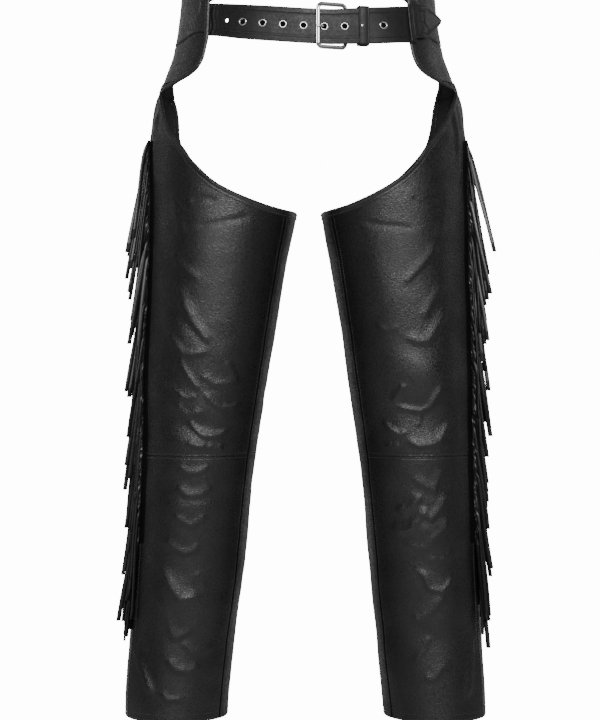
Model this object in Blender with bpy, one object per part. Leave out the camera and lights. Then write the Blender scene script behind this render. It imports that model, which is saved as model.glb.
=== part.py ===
# Fringed black leather chaps with their own belt, filled out as if worn.
# The origin is the middle of the waist ring at the belt's height, in metres.
# The wearer's right side is at minus X, the front is at minus Y, Z points up.
import math
import bpy
import bmesh
from mathutils import Vector
from mathutils.geometry import tessellate_polygon

for item in list(bpy.data.objects):
    bpy.data.objects.remove(item, do_unlink=True)

MM = 0.001
WALL = 2.0
SEAM = 0.4
KNEE = -597.0
HEM = -972.5
HIP_SEAM = -82.2
INSEAM_ANGLE = 150.0
HIP_SHARE = 0.64
STRAP = 2.6
BACKING = 1.6
FRONT_COLUMNS = 9
BACK_COLUMNS = 10
THIGH_ROWS = 12
SHIN_ROWS = 10
LANES = 5
LANE_PITCH = 4.3
FRINGE_TOP = -150.0
FRINGE_BOTTOM = -722.0
FRINGE_BANDS = 20
STRAND_LENGTH = 150.0
STRAND_WIDTH = 3.4
STRAND_THICK = 1.5
EYELET_OUT = 5.6
EYELET_IN = 3.2
EYELET_HIGH = 1.2
PRONG_HOLE_X = 21.5
BARE_HOLE_X = -116.0
EYELET_X = (-91.5, -63.3, -35.2, -7.0, 21.5, 49.3, 102.5)

# Leg tube sections: height, middle of the right leg, of the left leg,
# middle in depth, half width, half depth.
LEG = [
    (-976.0, 191.0, 183.0, 8.0, 72.9, 79.0),
    (-952.0, 190.0, 181.2, 9.0, 73.7, 80.0),
    (-865.0, 181.9, 174.6, 11.0, 75.2, 82.0),
    (-808.0, 176.8, 170.9, 11.0, 77.2, 84.0),
    (-692.0, 167.5, 163.3, 6.0, 80.8, 86.0),
    (-599.0, 159.4, 156.7, 0.0, 83.6, 86.0),
    (-520.0, 152.0, 149.9, -3.0, 88.0, 89.0),
    (-419.0, 140.8, 140.7, -4.0, 93.0, 93.0),
    (-318.0, 129.3, 130.3, -3.0, 98.6, 97.0),
    (-250.0, 122.1, 123.2, 0.0, 104.4, 100.0),
    (-160.0, 118.0, 118.0, 2.0, 108.0, 104.0),
]

# Hip sections: height, half width, half depth.
HIP = [
    (-260.0, 227.0, 112.0),
    (-152.0, 227.0, 119.0),
    (-130.0, 223.8, 121.0),
    (-105.0, 221.4, 122.5),
    (-93.0, 219.0, 123.5),
    (-85.0, 216.4, 124.0),
    (-80.0, 213.5, 124.0),
    (-73.0, 210.8, 123.8),
    (-59.0, 205.6, 123.5),
    (-47.0, 200.8, 123.0),
    (-24.0, 192.8, 122.0),
    (-1.0, 188.4, 121.0),
    (13.0, 186.2, 120.5),
    (42.0, 183.0, 119.0),
    (138.0, 177.0, 116.0),
]

# Front edge of each side: height, distance from the middle on the right
# side and on the left side. Below the hip seam it is the thigh's top edge.
FRONT_EDGE = [
    (-251.6, 16.3, 19.7),
    (-250.8, 28.0, 25.8),
    (-245.5, 55.7, 52.0),
    (-239.0, 76.4, 70.0),
    (-225.5, 109.6, 99.0),
    (-212.0, 133.0, 121.4),
    (-197.0, 150.0, 139.5),
    (-182.0, 164.0, 152.7),
    (-167.0, 173.5, 161.7),
    (-154.0, 183.9, 172.0),
    (-136.0, 194.7, 185.0),
    (-117.0, 202.9, 196.4),
    (-97.0, 207.5, 204.6),
    (-82.0, 211.0, 209.0),
    (-79.0, 208.0, 206.0),
    (-73.0, 191.4, 190.4),
    (-68.0, 181.0, 180.0),
    (-63.0, 169.0, 168.0),
    (-53.0, 155.8, 155.0),
    (-38.0, 147.4, 147.0),
    (-21.0, 143.2, 143.0),
    (-8.0, 140.5, 140.5),
    (44.0, 138.5, 138.5),
]

# Back edge of each side, in the same columns.
BACK_EDGE = [
    (-251.6, 16.3, 19.7),
    (-245.0, 35.7, 33.0),
    (-236.6, 62.7, 57.0),
    (-225.5, 92.7, 84.0),
    (-212.0, 119.4, 109.0),
    (-194.0, 143.2, 132.0),
    (-177.0, 161.0, 150.0),
    (-162.0, 175.5, 163.0),
    (-148.8, 185.1, 173.3),
    (-135.0, 189.7, 178.3),
    (-116.0, 190.0, 181.6),
    (-97.0, 191.8, 183.5),
    (-80.0, 195.8, 187.0),
    (-60.0, 197.6, 191.5),
    (-40.0, 190.0, 188.0),
    (-16.0, 178.0, 177.0),
    (10.0, 168.0, 168.0),
    (40.0, 158.0, 158.0),
    (67.0, 148.0, 148.0),
]

# Seam between waist yoke and hip piece: hip angle, height.
YOKE_SEAM = [
    (-30.0, -9.0),
    (-22.5, -9.5),
    (-5.0, -13.0),
    (13.0, -12.0),
    (31.0, -3.0),
    (36.5, -1.0),
    (42.0, -5.0),
    (50.0, -7.0),
]

# Waist yoke upper edge and lower back edge: hip angle, height.
YOKE_TOP = [
    (-90.0, 138.0),
    (-45.0, 124.0),
    (0.0, 84.0),
    (42.0, 45.0),
    (50.0, 43.0),
]
YOKE_LOW = [
    (-90.0, 80.0),
    (-60.0, 78.0),
    (-45.0, 74.0),
    (-38.0, 67.0),
    (-34.0, 56.0),
    (-30.3, 40.0),
    (-27.0, 20.0),
    (-24.6, 2.0),
    (-22.5, -9.3),
]
YOKE_BACK_ANGLES = (-89.94, -80.0, -70.0, -60.0, -51.0, -44.0, -38.0, -34.0, -30.3,
                    -27.0, -24.6)
YOKE_HIP_ANGLES = (-22.5, -14.0, -5.0, 4.0, 13.0, 22.0, 31.0, 36.5, 42.0)

# Belt line: distance across, height of its middle, half its height,
# distance of the strap outside the hip surface.
BELT = [
    (-160.0, 18.0, 22.6, -3.1),
    (-132.0, 14.5, 22.9, -3.1),
    (-92.0, 8.4, 24.0, -1.6),
    (-45.0, 3.4, 24.3, 0.0),
    (0.0, 0.0, 24.3, 0.0),
    (30.0, -1.0, 24.3, 0.0),
    (62.0, 0.6, 24.8, 0.3),
    (102.0, 3.4, 25.4, 2.3),
    (128.0, 6.4, 25.4, 3.1),
    (160.0, 9.0, 25.4, 3.1),
]

# Pointed tab: angle from the front, lower edge, upper edge, lift.
TAB = [
    (47.4, -18.0, 35.3, 6.1),
    (51.0, -11.6, 36.2, 6.1),
    (55.5, -9.8, 36.9, 6.1),
    (60.5, -8.5, 37.2, 4.6),
    (66.0, 0.0, 35.4, 3.1),
    (71.0, 6.2, 33.4, 3.1),
    (76.0, 11.3, 31.0, 3.3),
    (82.0, 18.0, 28.6, 4.6),
    (88.0, 23.9, 26.7, 6.4),
]

# Largest soft folds: side, height, angle round the leg, tilt in degrees,
# half width, half length, rise.
FOLDS = [
    (-1, -432.0, 70.0, -35.0, 17.0, 42.0, 3.0),
    (-1, -545.0, 80.0, -20.0, 16.0, 44.0, -3.2),
    (-1, -575.0, 78.0, 6.0, 15.0, 40.0, 3.2),
    (-1, -668.0, 88.0, 2.0, 15.0, 40.0, 2.6),
    (-1, -785.0, 80.0, -35.0, 17.0, 45.0, 2.8),
    (-1, -838.0, 84.0, -28.0, 15.0, 38.0, -2.6),
    (-1, -905.0, 42.0, -62.0, 17.0, 55.0, 3.4),
    (1, -478.0, 76.0, 24.0, 17.0, 42.0, 2.8),
    (1, -532.0, 92.0, 24.0, 15.0, 38.0, -3.0),
    (1, -578.0, 70.0, -6.0, 15.0, 40.0, 3.0),
    (1, -700.0, 86.0, -4.0, 16.0, 42.0, 2.6),
    (1, -790.0, 70.0, 30.0, 17.0, 42.0, 2.6),
    (1, -850.0, 92.0, 20.0, 15.0, 36.0, -2.4),
    (-1, -560.0, -90.0, 14.0, 17.0, 60.0, 3.4),
    (-1, -610.0, -80.0, -10.0, 16.0, 56.0, -3.2),
    (1, -570.0, -86.0, -14.0, 17.0, 60.0, 3.2),
    (1, -622.0, -96.0, 10.0, 16.0, 52.0, -3.0),
    (-1, -800.0, -96.0, 18.0, 18.0, 55.0, 2.6),
    (1, -820.0, -88.0, -18.0, 18.0, 55.0, 2.6),
]


def read(table, column, at):
    """Read a table's column at a place, joined by soft monotone curves."""
    places = [row[0] for row in table]
    values = [row[column] for row in table]
    if at <= places[0]:
        return values[0]
    if at >= places[-1]:
        return values[-1]
    k = 0
    while places[k + 1] < at:
        k += 1
    steps = [places[i + 1] - places[i] for i in range(len(places) - 1)]
    rises = [(values[i + 1] - values[i]) / steps[i] for i in range(len(steps))]

    def slope(i):
        if i == 0:
            return rises[0]
        if i == len(steps):
            return rises[-1]
        if rises[i - 1] * rises[i] <= 0:
            return 0.0
        return 2.0 * rises[i - 1] * rises[i] / (rises[i - 1] + rises[i])

    h = steps[k]
    t = (at - places[k]) / h
    a = values[k] * (2 * t ** 3 - 3 * t ** 2 + 1)
    b = values[k + 1] * (3 * t ** 2 - 2 * t ** 3)
    c = h * slope(k) * (t ** 3 - 2 * t ** 2 + t)
    d = h * slope(k + 1) * (t ** 3 - t ** 2)
    return a + b + c + d


def ease(t):
    t = min(1.0, max(0.0, t))
    return t * t * (3.0 - 2.0 * t)


def side_seam(height):
    """Angle of the outer seam, which drifts to the front further down."""
    return 14.0 + 15.0 * ease((-250.0 - height) / 450.0)


def fold_rise(side, angle, height):
    rise = 0.0
    for row in FOLDS:
        if row[0] != side:
            continue
        turn = (angle - row[2] + 180.0) % 360.0 - 180.0
        across = math.radians(turn) * 88.0
        up = height - row[1]
        tilt = math.radians(row[3])
        along = across * math.cos(tilt) + up * math.sin(tilt)
        over = up * math.cos(tilt) - across * math.sin(tilt)
        bell = math.exp(-(over / row[4]) ** 2 - (along / row[5]) ** 2)
        rise += row[6] * bell
    return rise


def plain(side, angle, height):
    """Middle surface of the leather before folds, on one side, in mm."""
    column = 1 if side < 0 else 2
    turn = math.radians(angle)
    half = read(LEG, 4, height)
    leg_x = read(LEG, column, height) + half * math.cos(turn)
    leg_y = read(LEG, 3, height) - read(LEG, 5, height) * math.sin(turn)
    share = ease((height + 250.0) / 168.0)
    hip_turn = math.radians(angle * HIP_SHARE)
    hip_x = read(HIP, 1, height) * math.cos(hip_turn)
    hip_y = -read(HIP, 2, height) * math.sin(hip_turn)
    x = leg_x * (1.0 - share) + hip_x * share
    y = leg_y * (1.0 - share) + hip_y * share
    return Vector((side * x, y, height))


def outward(side, angle, height):
    round_way = plain(side, angle + 0.5, height) - plain(side, angle - 0.5, height)
    up_way = plain(side, angle, height + 1.0) - plain(side, angle, height - 1.0)
    normal = round_way.cross(up_way) * (-side)
    return normal.normalized()


def skin(side, angle, height, lift):
    """A point at a lift from the leather's middle surface, in mm."""
    rise = fold_rise(side, angle, height)
    return plain(side, angle, height) + outward(side, angle, height) * (lift + rise)


def edge_angle(side, height, reach, front):
    """Angle at which the middle surface has this distance across."""
    low = 0.0
    high = 181.0
    for _ in range(40):
        mid = (low + high) / 2.0
        x = abs(plain(side, mid if front else -mid, height).x)
        if plain(side, mid if front else -mid, height).x * side < 0:
            x = -x
        if x > reach:
            low = mid
        else:
            high = mid
    return low if front else -low


def edge_line(side, table, front, low, high):
    """Edge as rows of angle and height, between two heights."""
    column = 1 if side < 0 else 2
    rows = []
    for step in range(41):
        height = low + (high - low) * step / 40.0
        angle = edge_angle(side, height, read(table, column, height), front)
        rows.append((angle, height))
    rows.sort()
    return rows


def line_at(rows, at):
    if at <= rows[0][0]:
        return rows[0][1]
    if at >= rows[-1][0]:
        return rows[-1][1]
    k = 0
    while rows[k + 1][0] < at:
        k += 1
    span = max(1e-9, rows[k + 1][0] - rows[k][0])
    t = (at - rows[k][0]) / span
    return rows[k][1] * (1.0 - t) + rows[k + 1][1] * t


def material(name, colour, metal, rough):
    made = bpy.data.materials.new(name)
    made.use_nodes = True
    shader = made.node_tree.nodes["Principled BSDF"]
    shader.inputs["Base Color"].default_value = (*colour, 1.0)
    shader.inputs["Metallic"].default_value = metal
    shader.inputs["Roughness"].default_value = rough
    return made


def add(name, points, faces, colour, metal=0.0, rough=0.5):
    mesh = bpy.data.meshes.new(name)
    mesh.from_pydata([tuple(p * MM) for p in points], [], faces)
    form = bmesh.new()
    form.from_mesh(mesh)
    bmesh.ops.recalc_face_normals(form, faces=form.faces)
    if form.calc_volume(signed=True) < 0:
        bmesh.ops.reverse_faces(form, faces=form.faces)
    form.to_mesh(mesh)
    form.free()
    made = bpy.data.objects.new(name, mesh)
    made.data.materials.append(material(name + "_finish", colour, metal, rough))
    bpy.context.scene.collection.objects.link(made)
    return made


def wall(outer, inner, keep=None):
    """Closed sheet between two equal grids of points; keep picks cells."""
    rows = len(outer)
    columns = len(outer[0])
    points = [p for row in outer for p in row] + [p for row in inner for p in row]
    back = rows * columns
    faces = []
    used = {}
    for i in range(rows - 1):
        for j in range(columns - 1):
            if keep and not keep(i, j):
                continue
            a = i * columns + j
            b = a + 1
            c = a + columns + 1
            d = a + columns
            for tri in ((a, b, c), (a, c, d)):
                faces.append(tri)
                faces.append(tuple(back + v for v in reversed(tri)))
            for edge in ((a, b), (b, c), (c, d), (d, a)):
                key = (min(edge), max(edge))
                used.setdefault(key, []).append(edge)
    for edges in used.values():
        if len(edges) == 1:
            p, q = edges[0]
            faces.append((p, back + p, back + q))
            faces.append((p, back + q, q))
    return points, faces


def grid_piece(name, grid_points, colour, rough=0.5):
    outer = [[point(WALL / 2) for point in row] for row in grid_points]
    inner = [[point(-WALL / 2) for point in row] for row in grid_points]
    points, faces = wall(outer, inner)
    add(name, points, faces, colour, 0.0, rough)


def spot(side, angle, height):
    return lambda lift: skin(side, angle, height, lift)


def seam_turn(angle, height, away):
    """Angle moved by a small distance in mm round the leg."""
    return angle + math.degrees(away / max(60.0, read(LEG, 4, height)))


LEATHER = (0.022, 0.022, 0.024)
YOKE_LEATHER = (0.024, 0.024, 0.026)
METAL = (0.62, 0.62, 0.64)


def leg_panel(name, side, from_angle, to_angle, top_line, low, rows, columns, lower):
    """A panel of the leg between two seams; angles are functions of height."""
    grid = []
    for i in range(rows + 1):
        v = i / rows
        row = []
        for j in range(columns + 1):
            s = j / columns
            top = top_line(s)
            if lower:
                share = v
            else:
                share = v ** 1.15
            height = low + (top - low) * share
            start = seam_turn(from_angle(height), height, SEAM / 2)
            stop = seam_turn(to_angle(height), height, -SEAM / 2)
            row.append(spot(side, start + (stop - start) * s, height))
        grid.append(row)
    grid_piece(name, grid, LEATHER, 0.5)


def legs(side, label):
    front = edge_line(side, FRONT_EDGE, True, -251.6, HIP_SEAM)
    back = edge_line(side, BACK_EDGE, False, -251.6, HIP_SEAM)
    top_side = HIP_SEAM - SEAM / 2
    start = side_seam(-100.0)

    def front_top(s):
        angle = start + (INSEAM_ANGLE - start) * s
        if angle <= front[0][0]:
            return top_side
        return min(top_side, line_at(front, angle))

    def back_top(s):
        angle = start + (INSEAM_ANGLE - 360.0 - start) * (1.0 - s)
        if angle >= back[-1][0]:
            return top_side
        if angle <= -180.0:
            return min(line_at(front, angle + 360.0), -250.6)
        return min(top_side, line_at(back, angle))

    inseam = lambda height: INSEAM_ANGLE
    round_back = lambda height: INSEAM_ANGLE - 360.0
    low = KNEE + SEAM / 2
    leg_panel("front_thigh_" + label, side, side_seam, inseam, front_top,
              low, THIGH_ROWS, FRONT_COLUMNS, False)
    leg_panel("back_thigh_" + label, side, round_back, side_seam, back_top,
              low, THIGH_ROWS, BACK_COLUMNS, False)
    knee = lambda s: KNEE - SEAM / 2
    leg_panel("front_shin_" + label, side, side_seam, inseam, knee,
              HEM, SHIN_ROWS, FRONT_COLUMNS, True)
    leg_panel("back_calf_" + label, side, round_back, side_seam, knee,
              HEM, SHIN_ROWS, BACK_COLUMNS, True)


def yoke_turn(angle, height):
    """Hip angle of a yoke column, shifted so that its front edge is upright."""
    if angle < 35.0:
        return angle
    reach = 140.0 - (height + 6.0) * 0.03
    edge = math.degrees(math.acos(reach / read(HIP, 1, height)))
    return edge - (YOKE_HIP_ANGLES[-1] - angle)


def hip_piece(side, label):
    """Lower yoke over the hip, between the leg and the waist yoke."""
    heights = (-81.3, -79.0, -76.0, -72.5, -68.0, -62.5, -53.0, -41.0, -27.0, -13.2)
    column = 1 if side < 0 else 2
    first = YOKE_HIP_ANGLES[0]
    whole = YOKE_HIP_ANGLES[-1] - first
    grid = []
    for level in heights:
        front = edge_angle(side, level, read(FRONT_EDGE, column, level), True)
        back = edge_angle(side, level, read(BACK_EDGE, column, level), False)
        if level < -80.0:
            front = 14.0
        row = []
        for turn in YOKE_HIP_ANGLES:
            seam = read(YOKE_SEAM, 1, turn) - SEAM / 2
            share = ease((level + 81.3) / 68.1)
            height = level + share * (seam + 13.2)
            angle = back + (front - back) * (turn - first) / whole
            if level == heights[-1]:
                angle = yoke_turn(turn, height) / HIP_SHARE
            row.append(spot(side, angle, height))
        grid.append(row)
    grid_piece("hip_piece_" + label, grid, YOKE_LEATHER, 0.48)


def waist_yoke(side, label):
    """Upper yoke from the front edge round to the seam at the back."""
    rows = 4
    grid = []
    for i in range(rows + 1):
        row = []
        for angle in YOKE_BACK_ANGLES + YOKE_HIP_ANGLES:
            top = read(YOKE_TOP, 1, angle)
            if angle < YOKE_HIP_ANGLES[0]:
                low = read(YOKE_LOW, 1, angle)
            else:
                low = read(YOKE_SEAM, 1, angle) + SEAM / 2
            height = low + (top - low) * i / rows
            row.append(spot(side, yoke_turn(angle, height) / HIP_SHARE, height))
        grid.append(row)
    grid_piece("waist_yoke_" + label, grid, YOKE_LEATHER, 0.48)


def belt_turn(x):
    return math.asin(max(-1.0, min(1.0, x / 187.5)))


def belt_slope(x):
    """Share of the hips' slope that a strap follows at a distance across."""
    return ease((abs(x) - 66.0) / 50.0)


def belt_point(turn, height, lift, follow=1.0):
    """A point round the front at a turn from the middle."""
    wide = read(HIP, 1, height * follow)
    deep = read(HIP, 2, height * follow)
    point = Vector((wide * math.sin(turn), -deep * math.cos(turn), height))
    normal = Vector((math.sin(turn) / wide, -math.cos(turn) / deep, 0.0))
    return point + normal.normalized() * lift


def ring_fill(corners, rim):
    """Triangles between a square of four points and a round rim."""
    faces = []
    count = len(rim)
    quarter = count // 4
    for q in range(4):
        corner = corners[q]
        nxt = corners[(q + 1) % 4]
        first = q * quarter
        for k in range(quarter):
            faces.append((corner, rim[(first + k) % count], rim[(first + k + 1) % count]))
        faces.append((corner, rim[(first + quarter) % count], nxt))
    return faces


def long_strap():
    """The belt strap with one bare hole and one hole for the prong."""
    marks = [-151.0, -141.0, -130.0]
    marks += [BARE_HOLE_X - 5.5, BARE_HOLE_X + 5.5]
    marks += [-98.0, -84.0, -70.0, -56.0, -42.0, -28.0, -14.0, 0.0]
    marks += [PRONG_HOLE_X - 6.5, PRONG_HOLE_X + 6.5]
    marks += [42.0, 56.0, 70.0, 84.0, 97.0, 109.0, 120.0, 130.0, 139.0, 147.0]
    holes = {3: (BARE_HOLE_X, 3.0), 13: (PRONG_HOLE_X, 3.4)}
    cell = 6.5

    def place(x, up, lift):
        middle = read(BELT, 1, x)
        lift += read(BELT, 3, x)
        return belt_point(belt_turn(x), middle + up, lift, belt_slope(x))

    levels = []
    for x in marks:
        half = read(BELT, 2, x)
        levels.append((-half, -cell, cell, half))
    outer = [[place(x, up, STRAP / 2) for up in ups] for x, ups in zip(marks, levels)]
    inner = [[place(x, up, -STRAP / 2) for up in ups] for x, ups in zip(marks, levels)]

    def keep(i, j):
        return not (i in holes and j == 1)

    points, faces = wall(outer, inner, keep)
    columns = 4
    back = len(marks) * columns
    for i, (x, radius) in holes.items():
        a = i * columns + 1
        square = [a, a + columns, a + columns + 1, a + 1]
        # The open cell's square side walls go, and a round rim takes their place.
        faces = [face for face in faces if not (min(face) < back <= max(face)
                                                and {v % back for v in face} <= set(square))]
        count = 12
        front_rim = []
        back_rim = []
        for k in range(count):
            turn = math.radians(225.0 + 360.0 * k / count)
            dx = radius * math.cos(turn)
            up = radius * math.sin(turn)
            front_rim.append(len(points))
            points.append(place(x + dx, up, STRAP / 2))
            back_rim.append(len(points))
            points.append(place(x + dx, up, -STRAP / 2))
        faces += ring_fill(square, front_rim[1:] + front_rim[:1])
        faces += ring_fill([v + back for v in square], back_rim[1:] + back_rim[:1])
        for k in range(count):
            p = front_rim[k]
            q = front_rim[(k + 1) % count]
            faces.append((p, q, back_rim[(k + 1) % count]))
            faces.append((p, back_rim[(k + 1) % count], back_rim[k]))
    add("long_strap", points, faces, YOKE_LEATHER, 0.0, 0.45)


def disc_ring(name, x, up, lift, outside, inside, high, count=12):
    """A flat round ring lying on the strap."""
    points = []
    faces = []
    middle = read(BELT, 1, x) + up
    for k in range(count):
        turn = 2 * math.pi * k / count
        for radius, rise in ((outside, 0.0), (outside, high * 0.55), (outside * 0.78, high),
                             (inside, high * 0.8), (inside, 0.0)):
            dx = radius * math.cos(turn)
            dz = radius * math.sin(turn)
            points.append(belt_point(belt_turn(x + dx), middle + dz, lift + rise,
                                     belt_slope(x)))
    ring = 5
    for k in range(count):
        a = k * ring
        b = ((k + 1) % count) * ring
        for m in range(ring):
            n = (m + 1) % ring
            faces.append((a + m, b + m, b + n))
            faces.append((a + m, b + n, a + n))
    add(name, points, faces, METAL, 1.0, 0.25)


def ribbon(name, path, half_up, thick, colour, metal, rough, middle, slot=None, slant=None):
    """A strip with its thickness along a level path of points, in mm."""
    count = len(path)
    sides = []
    for k in range(count):
        before = path[max(0, k - 1)]
        after = path[min(count - 1, k + 1)]
        way = (after - before).normalized()
        sides.append(Vector((way.y, -way.x, 0.0)))
    levels = [-1.0, 1.0]
    if slot:
        levels = [-1.0, -slot[0] / half_up, slot[0] / half_up, 1.0]
    outer = []
    inner = []
    for k in range(count):
        row = []
        for v in levels:
            up = middle[k] + half_up * v
            row.append(path[k] + Vector((0, 0, up)) + (slant[k] * up if slant else Vector()))
        outer.append([point + sides[k] * thick / 2 for point in row])
        inner.append([point - sides[k] * thick / 2 for point in row])

    def keep(i, j):
        return not (slot and j == 1 and slot[1] <= i < slot[2])

    points, faces = wall(outer, inner, keep)
    add(name, points, faces, colour, metal, rough)


# The buckle's own level frame: its middle, its way across and its way out.
BUCKLE_X = 32.0
BUCKLE_UP = 0.4
BUCKLE_TURN = belt_turn(BUCKLE_X)
BUCKLE_AT = belt_point(BUCKLE_TURN, 0.0, 0.0)
BUCKLE_OUT = (belt_point(BUCKLE_TURN, 0.0, 1.0) - BUCKLE_AT).normalized()
BUCKLE_ACROSS = Vector((-BUCKLE_OUT.y, BUCKLE_OUT.x, 0.0))
LEFT_BAR_OUT = 4.3
RIGHT_BAR_OUT = -8.1
FRAME_WIDE = 45.6
FRAME_HIGH = 65.0
BAR_WIDE = 5.8
BAR_THICK = 4.0


def buckle_spot(across, out, up):
    return BUCKLE_AT + BUCKLE_ACROSS * across + BUCKLE_OUT * out + Vector((0, 0, up))


def buckle_frame():
    """Rounded rectangle of flat bar, tilted through the strap's line."""
    half_w = (FRAME_WIDE - BAR_WIDE) / 2
    half_h = (FRAME_HIGH - BAR_WIDE) / 2
    corner = 6.0
    path = []
    for cx, cz, start in ((half_w - corner, half_h - corner, 0.0),
                          (corner - half_w, half_h - corner, 90.0),
                          (corner - half_w, corner - half_h, 180.0),
                          (half_w - corner, corner - half_h, 270.0)):
        for k in range(4):
            turn = math.radians(start + 30.0 * k)
            path.append((cx + corner * math.cos(turn), cz + corner * math.sin(turn),
                         math.cos(turn), math.sin(turn)))
    section = ((-0.5, -0.2), (-0.5, 0.2), (-0.25, 0.5), (0.25, 0.5), (0.5, 0.2),
               (0.5, -0.2), (0.25, -0.5), (-0.25, -0.5))
    lean = (RIGHT_BAR_OUT - LEFT_BAR_OUT) / (2 * half_w)
    points = []
    faces = []
    for u, v, du, dv in path:
        for wide, thick in section:
            across = u + du * wide * BAR_WIDE
            up = v + dv * wide * BAR_WIDE
            out = (LEFT_BAR_OUT + RIGHT_BAR_OUT) / 2 + lean * across + thick * BAR_THICK
            points.append(buckle_spot(across, out, up + BUCKLE_UP))
    size = len(section)
    for k in range(len(path)):
        a = k * size
        b = ((k + 1) % len(path)) * size
        for m in range(size):
            n = (m + 1) % size
            faces.append((a + m, b + m, b + n))
            faces.append((a + m, b + n, a + n))
    add("buckle_frame", points, faces, METAL, 1.0, 0.22)


RIGHT_BAR_ACROSS = (FRAME_WIDE - BAR_WIDE) / 2


def buckle_strap():
    """Short strap from the left yoke, folded round the hidden bar."""
    path = []
    for x in (153.0, 143.0, 133.0, 121.0, 109.0, 97.0, 85.0, 73.0, 66.0):
        path.append(belt_point(belt_turn(x), 0.0, -3.3))
    bar = RIGHT_BAR_ACROSS
    reach = BAR_WIDE / 2 + 2.1
    rise = BAR_THICK / 2 + 2.3
    for turn in (60.0, 95.0, 130.0, 165.0, 195.0, 230.0, 265.0, 300.0):
        a = math.radians(turn)
        path.append(buckle_spot(bar + reach * math.cos(a),
                                RIGHT_BAR_OUT + rise * math.sin(a), 0.0))
    for x in (61.5, 67.5, 74.0, 82.0, 91.0, 99.0):
        back = -6.6 - max(0.0, (68.0 - x)) * 0.42
        path.append(belt_point(belt_turn(x), 0.0, back))
    middle = [read(BELT, 1, p.x) if p.x > 66.5 else 0.6 for p in path]
    slant = []
    for p in path:
        turn = belt_turn(p.x)
        way = belt_point(turn, 15.0, 0.0) - belt_point(turn, -15.0, 0.0)
        slant.append(Vector((way.x, way.y, 0.0)) / 30.0 * belt_slope(p.x))
    ribbon("buckle_strap", path, 23.0, 2.2, YOKE_LEATHER, 0.0, 0.45, middle, (4.2, 8, 17),
           slant)


def prong():
    """Bent prong: rolled round the hidden bar, through the eyelet, on the frame."""
    bar = RIGHT_BAR_ACROSS
    path = []
    for turn in (60.0, 15.0, -30.0, -75.0, -120.0, -155.0):
        a = math.radians(turn)
        path.append(buckle_spot(bar + 5.1 * math.cos(a), RIGHT_BAR_OUT + 4.2 * math.sin(a), 0))
    hole = PRONG_HOLE_X - BUCKLE_X
    for across, out in ((hole + 14.0, -9.6), (hole + 4.5, -6.6), (hole + 1.2, -4.4),
                        (hole + 0.4, 0.0), (hole - 0.2, 3.4), (hole - 2.0, 6.6),
                        (hole - 5.0, 8.4), (hole - 9.5, 8.6), (hole - 13.2, 8.1)):
        path.append(buckle_spot(across, out, 0.0))
    up = read(BELT, 1, PRONG_HOLE_X)
    ribbon("prong", path, 1.9, 1.8, METAL, 1.0, 0.22, [up] * len(path))


def loop_keeper():
    """Leather loop round both straps."""
    x = 75.8
    turn = belt_turn(x)
    middle = read(BELT, 1, x)
    half = read(BELT, 2, x) + 1.0
    front = read(BELT, 3, x + 7.0) + STRAP / 2 + 1.1
    behind = -6.6 - 1.1 - 1.7
    wide = 7.0
    thick = 1.6
    rim = []
    for cu, cv, start in ((front - 2.0, half - 2.0, 0.0), (behind + 2.0, half - 2.0, 90.0),
                          (behind + 2.0, 2.0 - half, 180.0), (front - 2.0, 2.0 - half, 270.0)):
        for k in range(3):
            a = math.radians(start + 45.0 * k)
            rim.append((cu, cv, math.cos(a), math.sin(a)))
    points = []
    faces = []
    for cu, cv, du, dv in rim:
        for side_x, radius in ((-wide, 2.0), (wide, 2.0), (wide, 2.0 + thick), (-wide, 2.0 + thick)):
            lift = cu + du * radius
            up = cv + dv * radius
            points.append(belt_point(belt_turn(x + side_x), middle + up, lift, belt_slope(x)))
    for k in range(len(rim)):
        a = k * 4
        b = ((k + 1) % len(rim)) * 4
        for m in range(4):
            n = (m + 1) % 4
            faces.append((a + m, b + m, b + n))
            faces.append((a + m, b + n, a + n))
    add("belt_keeper", points, faces, YOKE_LEATHER, 0.0, 0.45)
    top = front + thick + 0.35
    points = []
    faces = []
    count = 10
    for radius, rise in ((2.2, 0.0), (2.1, 0.8), (1.2, 1.4)):
        for k in range(count):
            a = 2 * math.pi * k / count
            points.append(belt_point(belt_turn(x - 3.2 + radius * math.cos(a)),
                                     middle + radius * math.sin(a), top + rise,
                                     belt_slope(x)))
    for level in range(2):
        for k in range(count):
            a = level * count + k
            b = level * count + (k + 1) % count
            faces.append((a, b, b + count))
            faces.append((a, b + count, a + count))
    faces.append(tuple(reversed(range(count))))
    faces.append(tuple(range(2 * count, 3 * count)))
    add("keeper_stud", points, faces, METAL, 1.0, 0.25)


def pointed_tab():
    """Tab on the left yoke over the strap's end, with its point to the side."""
    outer = []
    inner = []
    for turn, low, high, lift in TAB:
        a = math.radians(turn)
        outer.append([belt_point(a, low + (high - low) * k / 3, lift + WALL / 2)
                      for k in range(4)])
        inner.append([belt_point(a, low + (high - low) * k / 3, lift - WALL / 2)
                      for k in range(4)])
    points, faces = wall(outer, inner)
    add("pointed_tab", points, faces, YOKE_LEATHER, 0.0, 0.45)


def varied(k, salt):
    """A fixed uneven value between minus one and one."""
    v = math.sin(k * 12.9898 + salt * 78.233) * 43758.5453
    return 2.0 * (v - math.floor(v)) - 1.0


def strip_spot(side, across, height, lift):
    """A point on the fringe's strip, across mm behind the outer seam."""
    angle = side_seam(height) - 1.0
    span = plain(side, angle + 1.0, height) - plain(side, angle, height)
    return skin(side, angle - across / span.length, height, lift)


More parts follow.
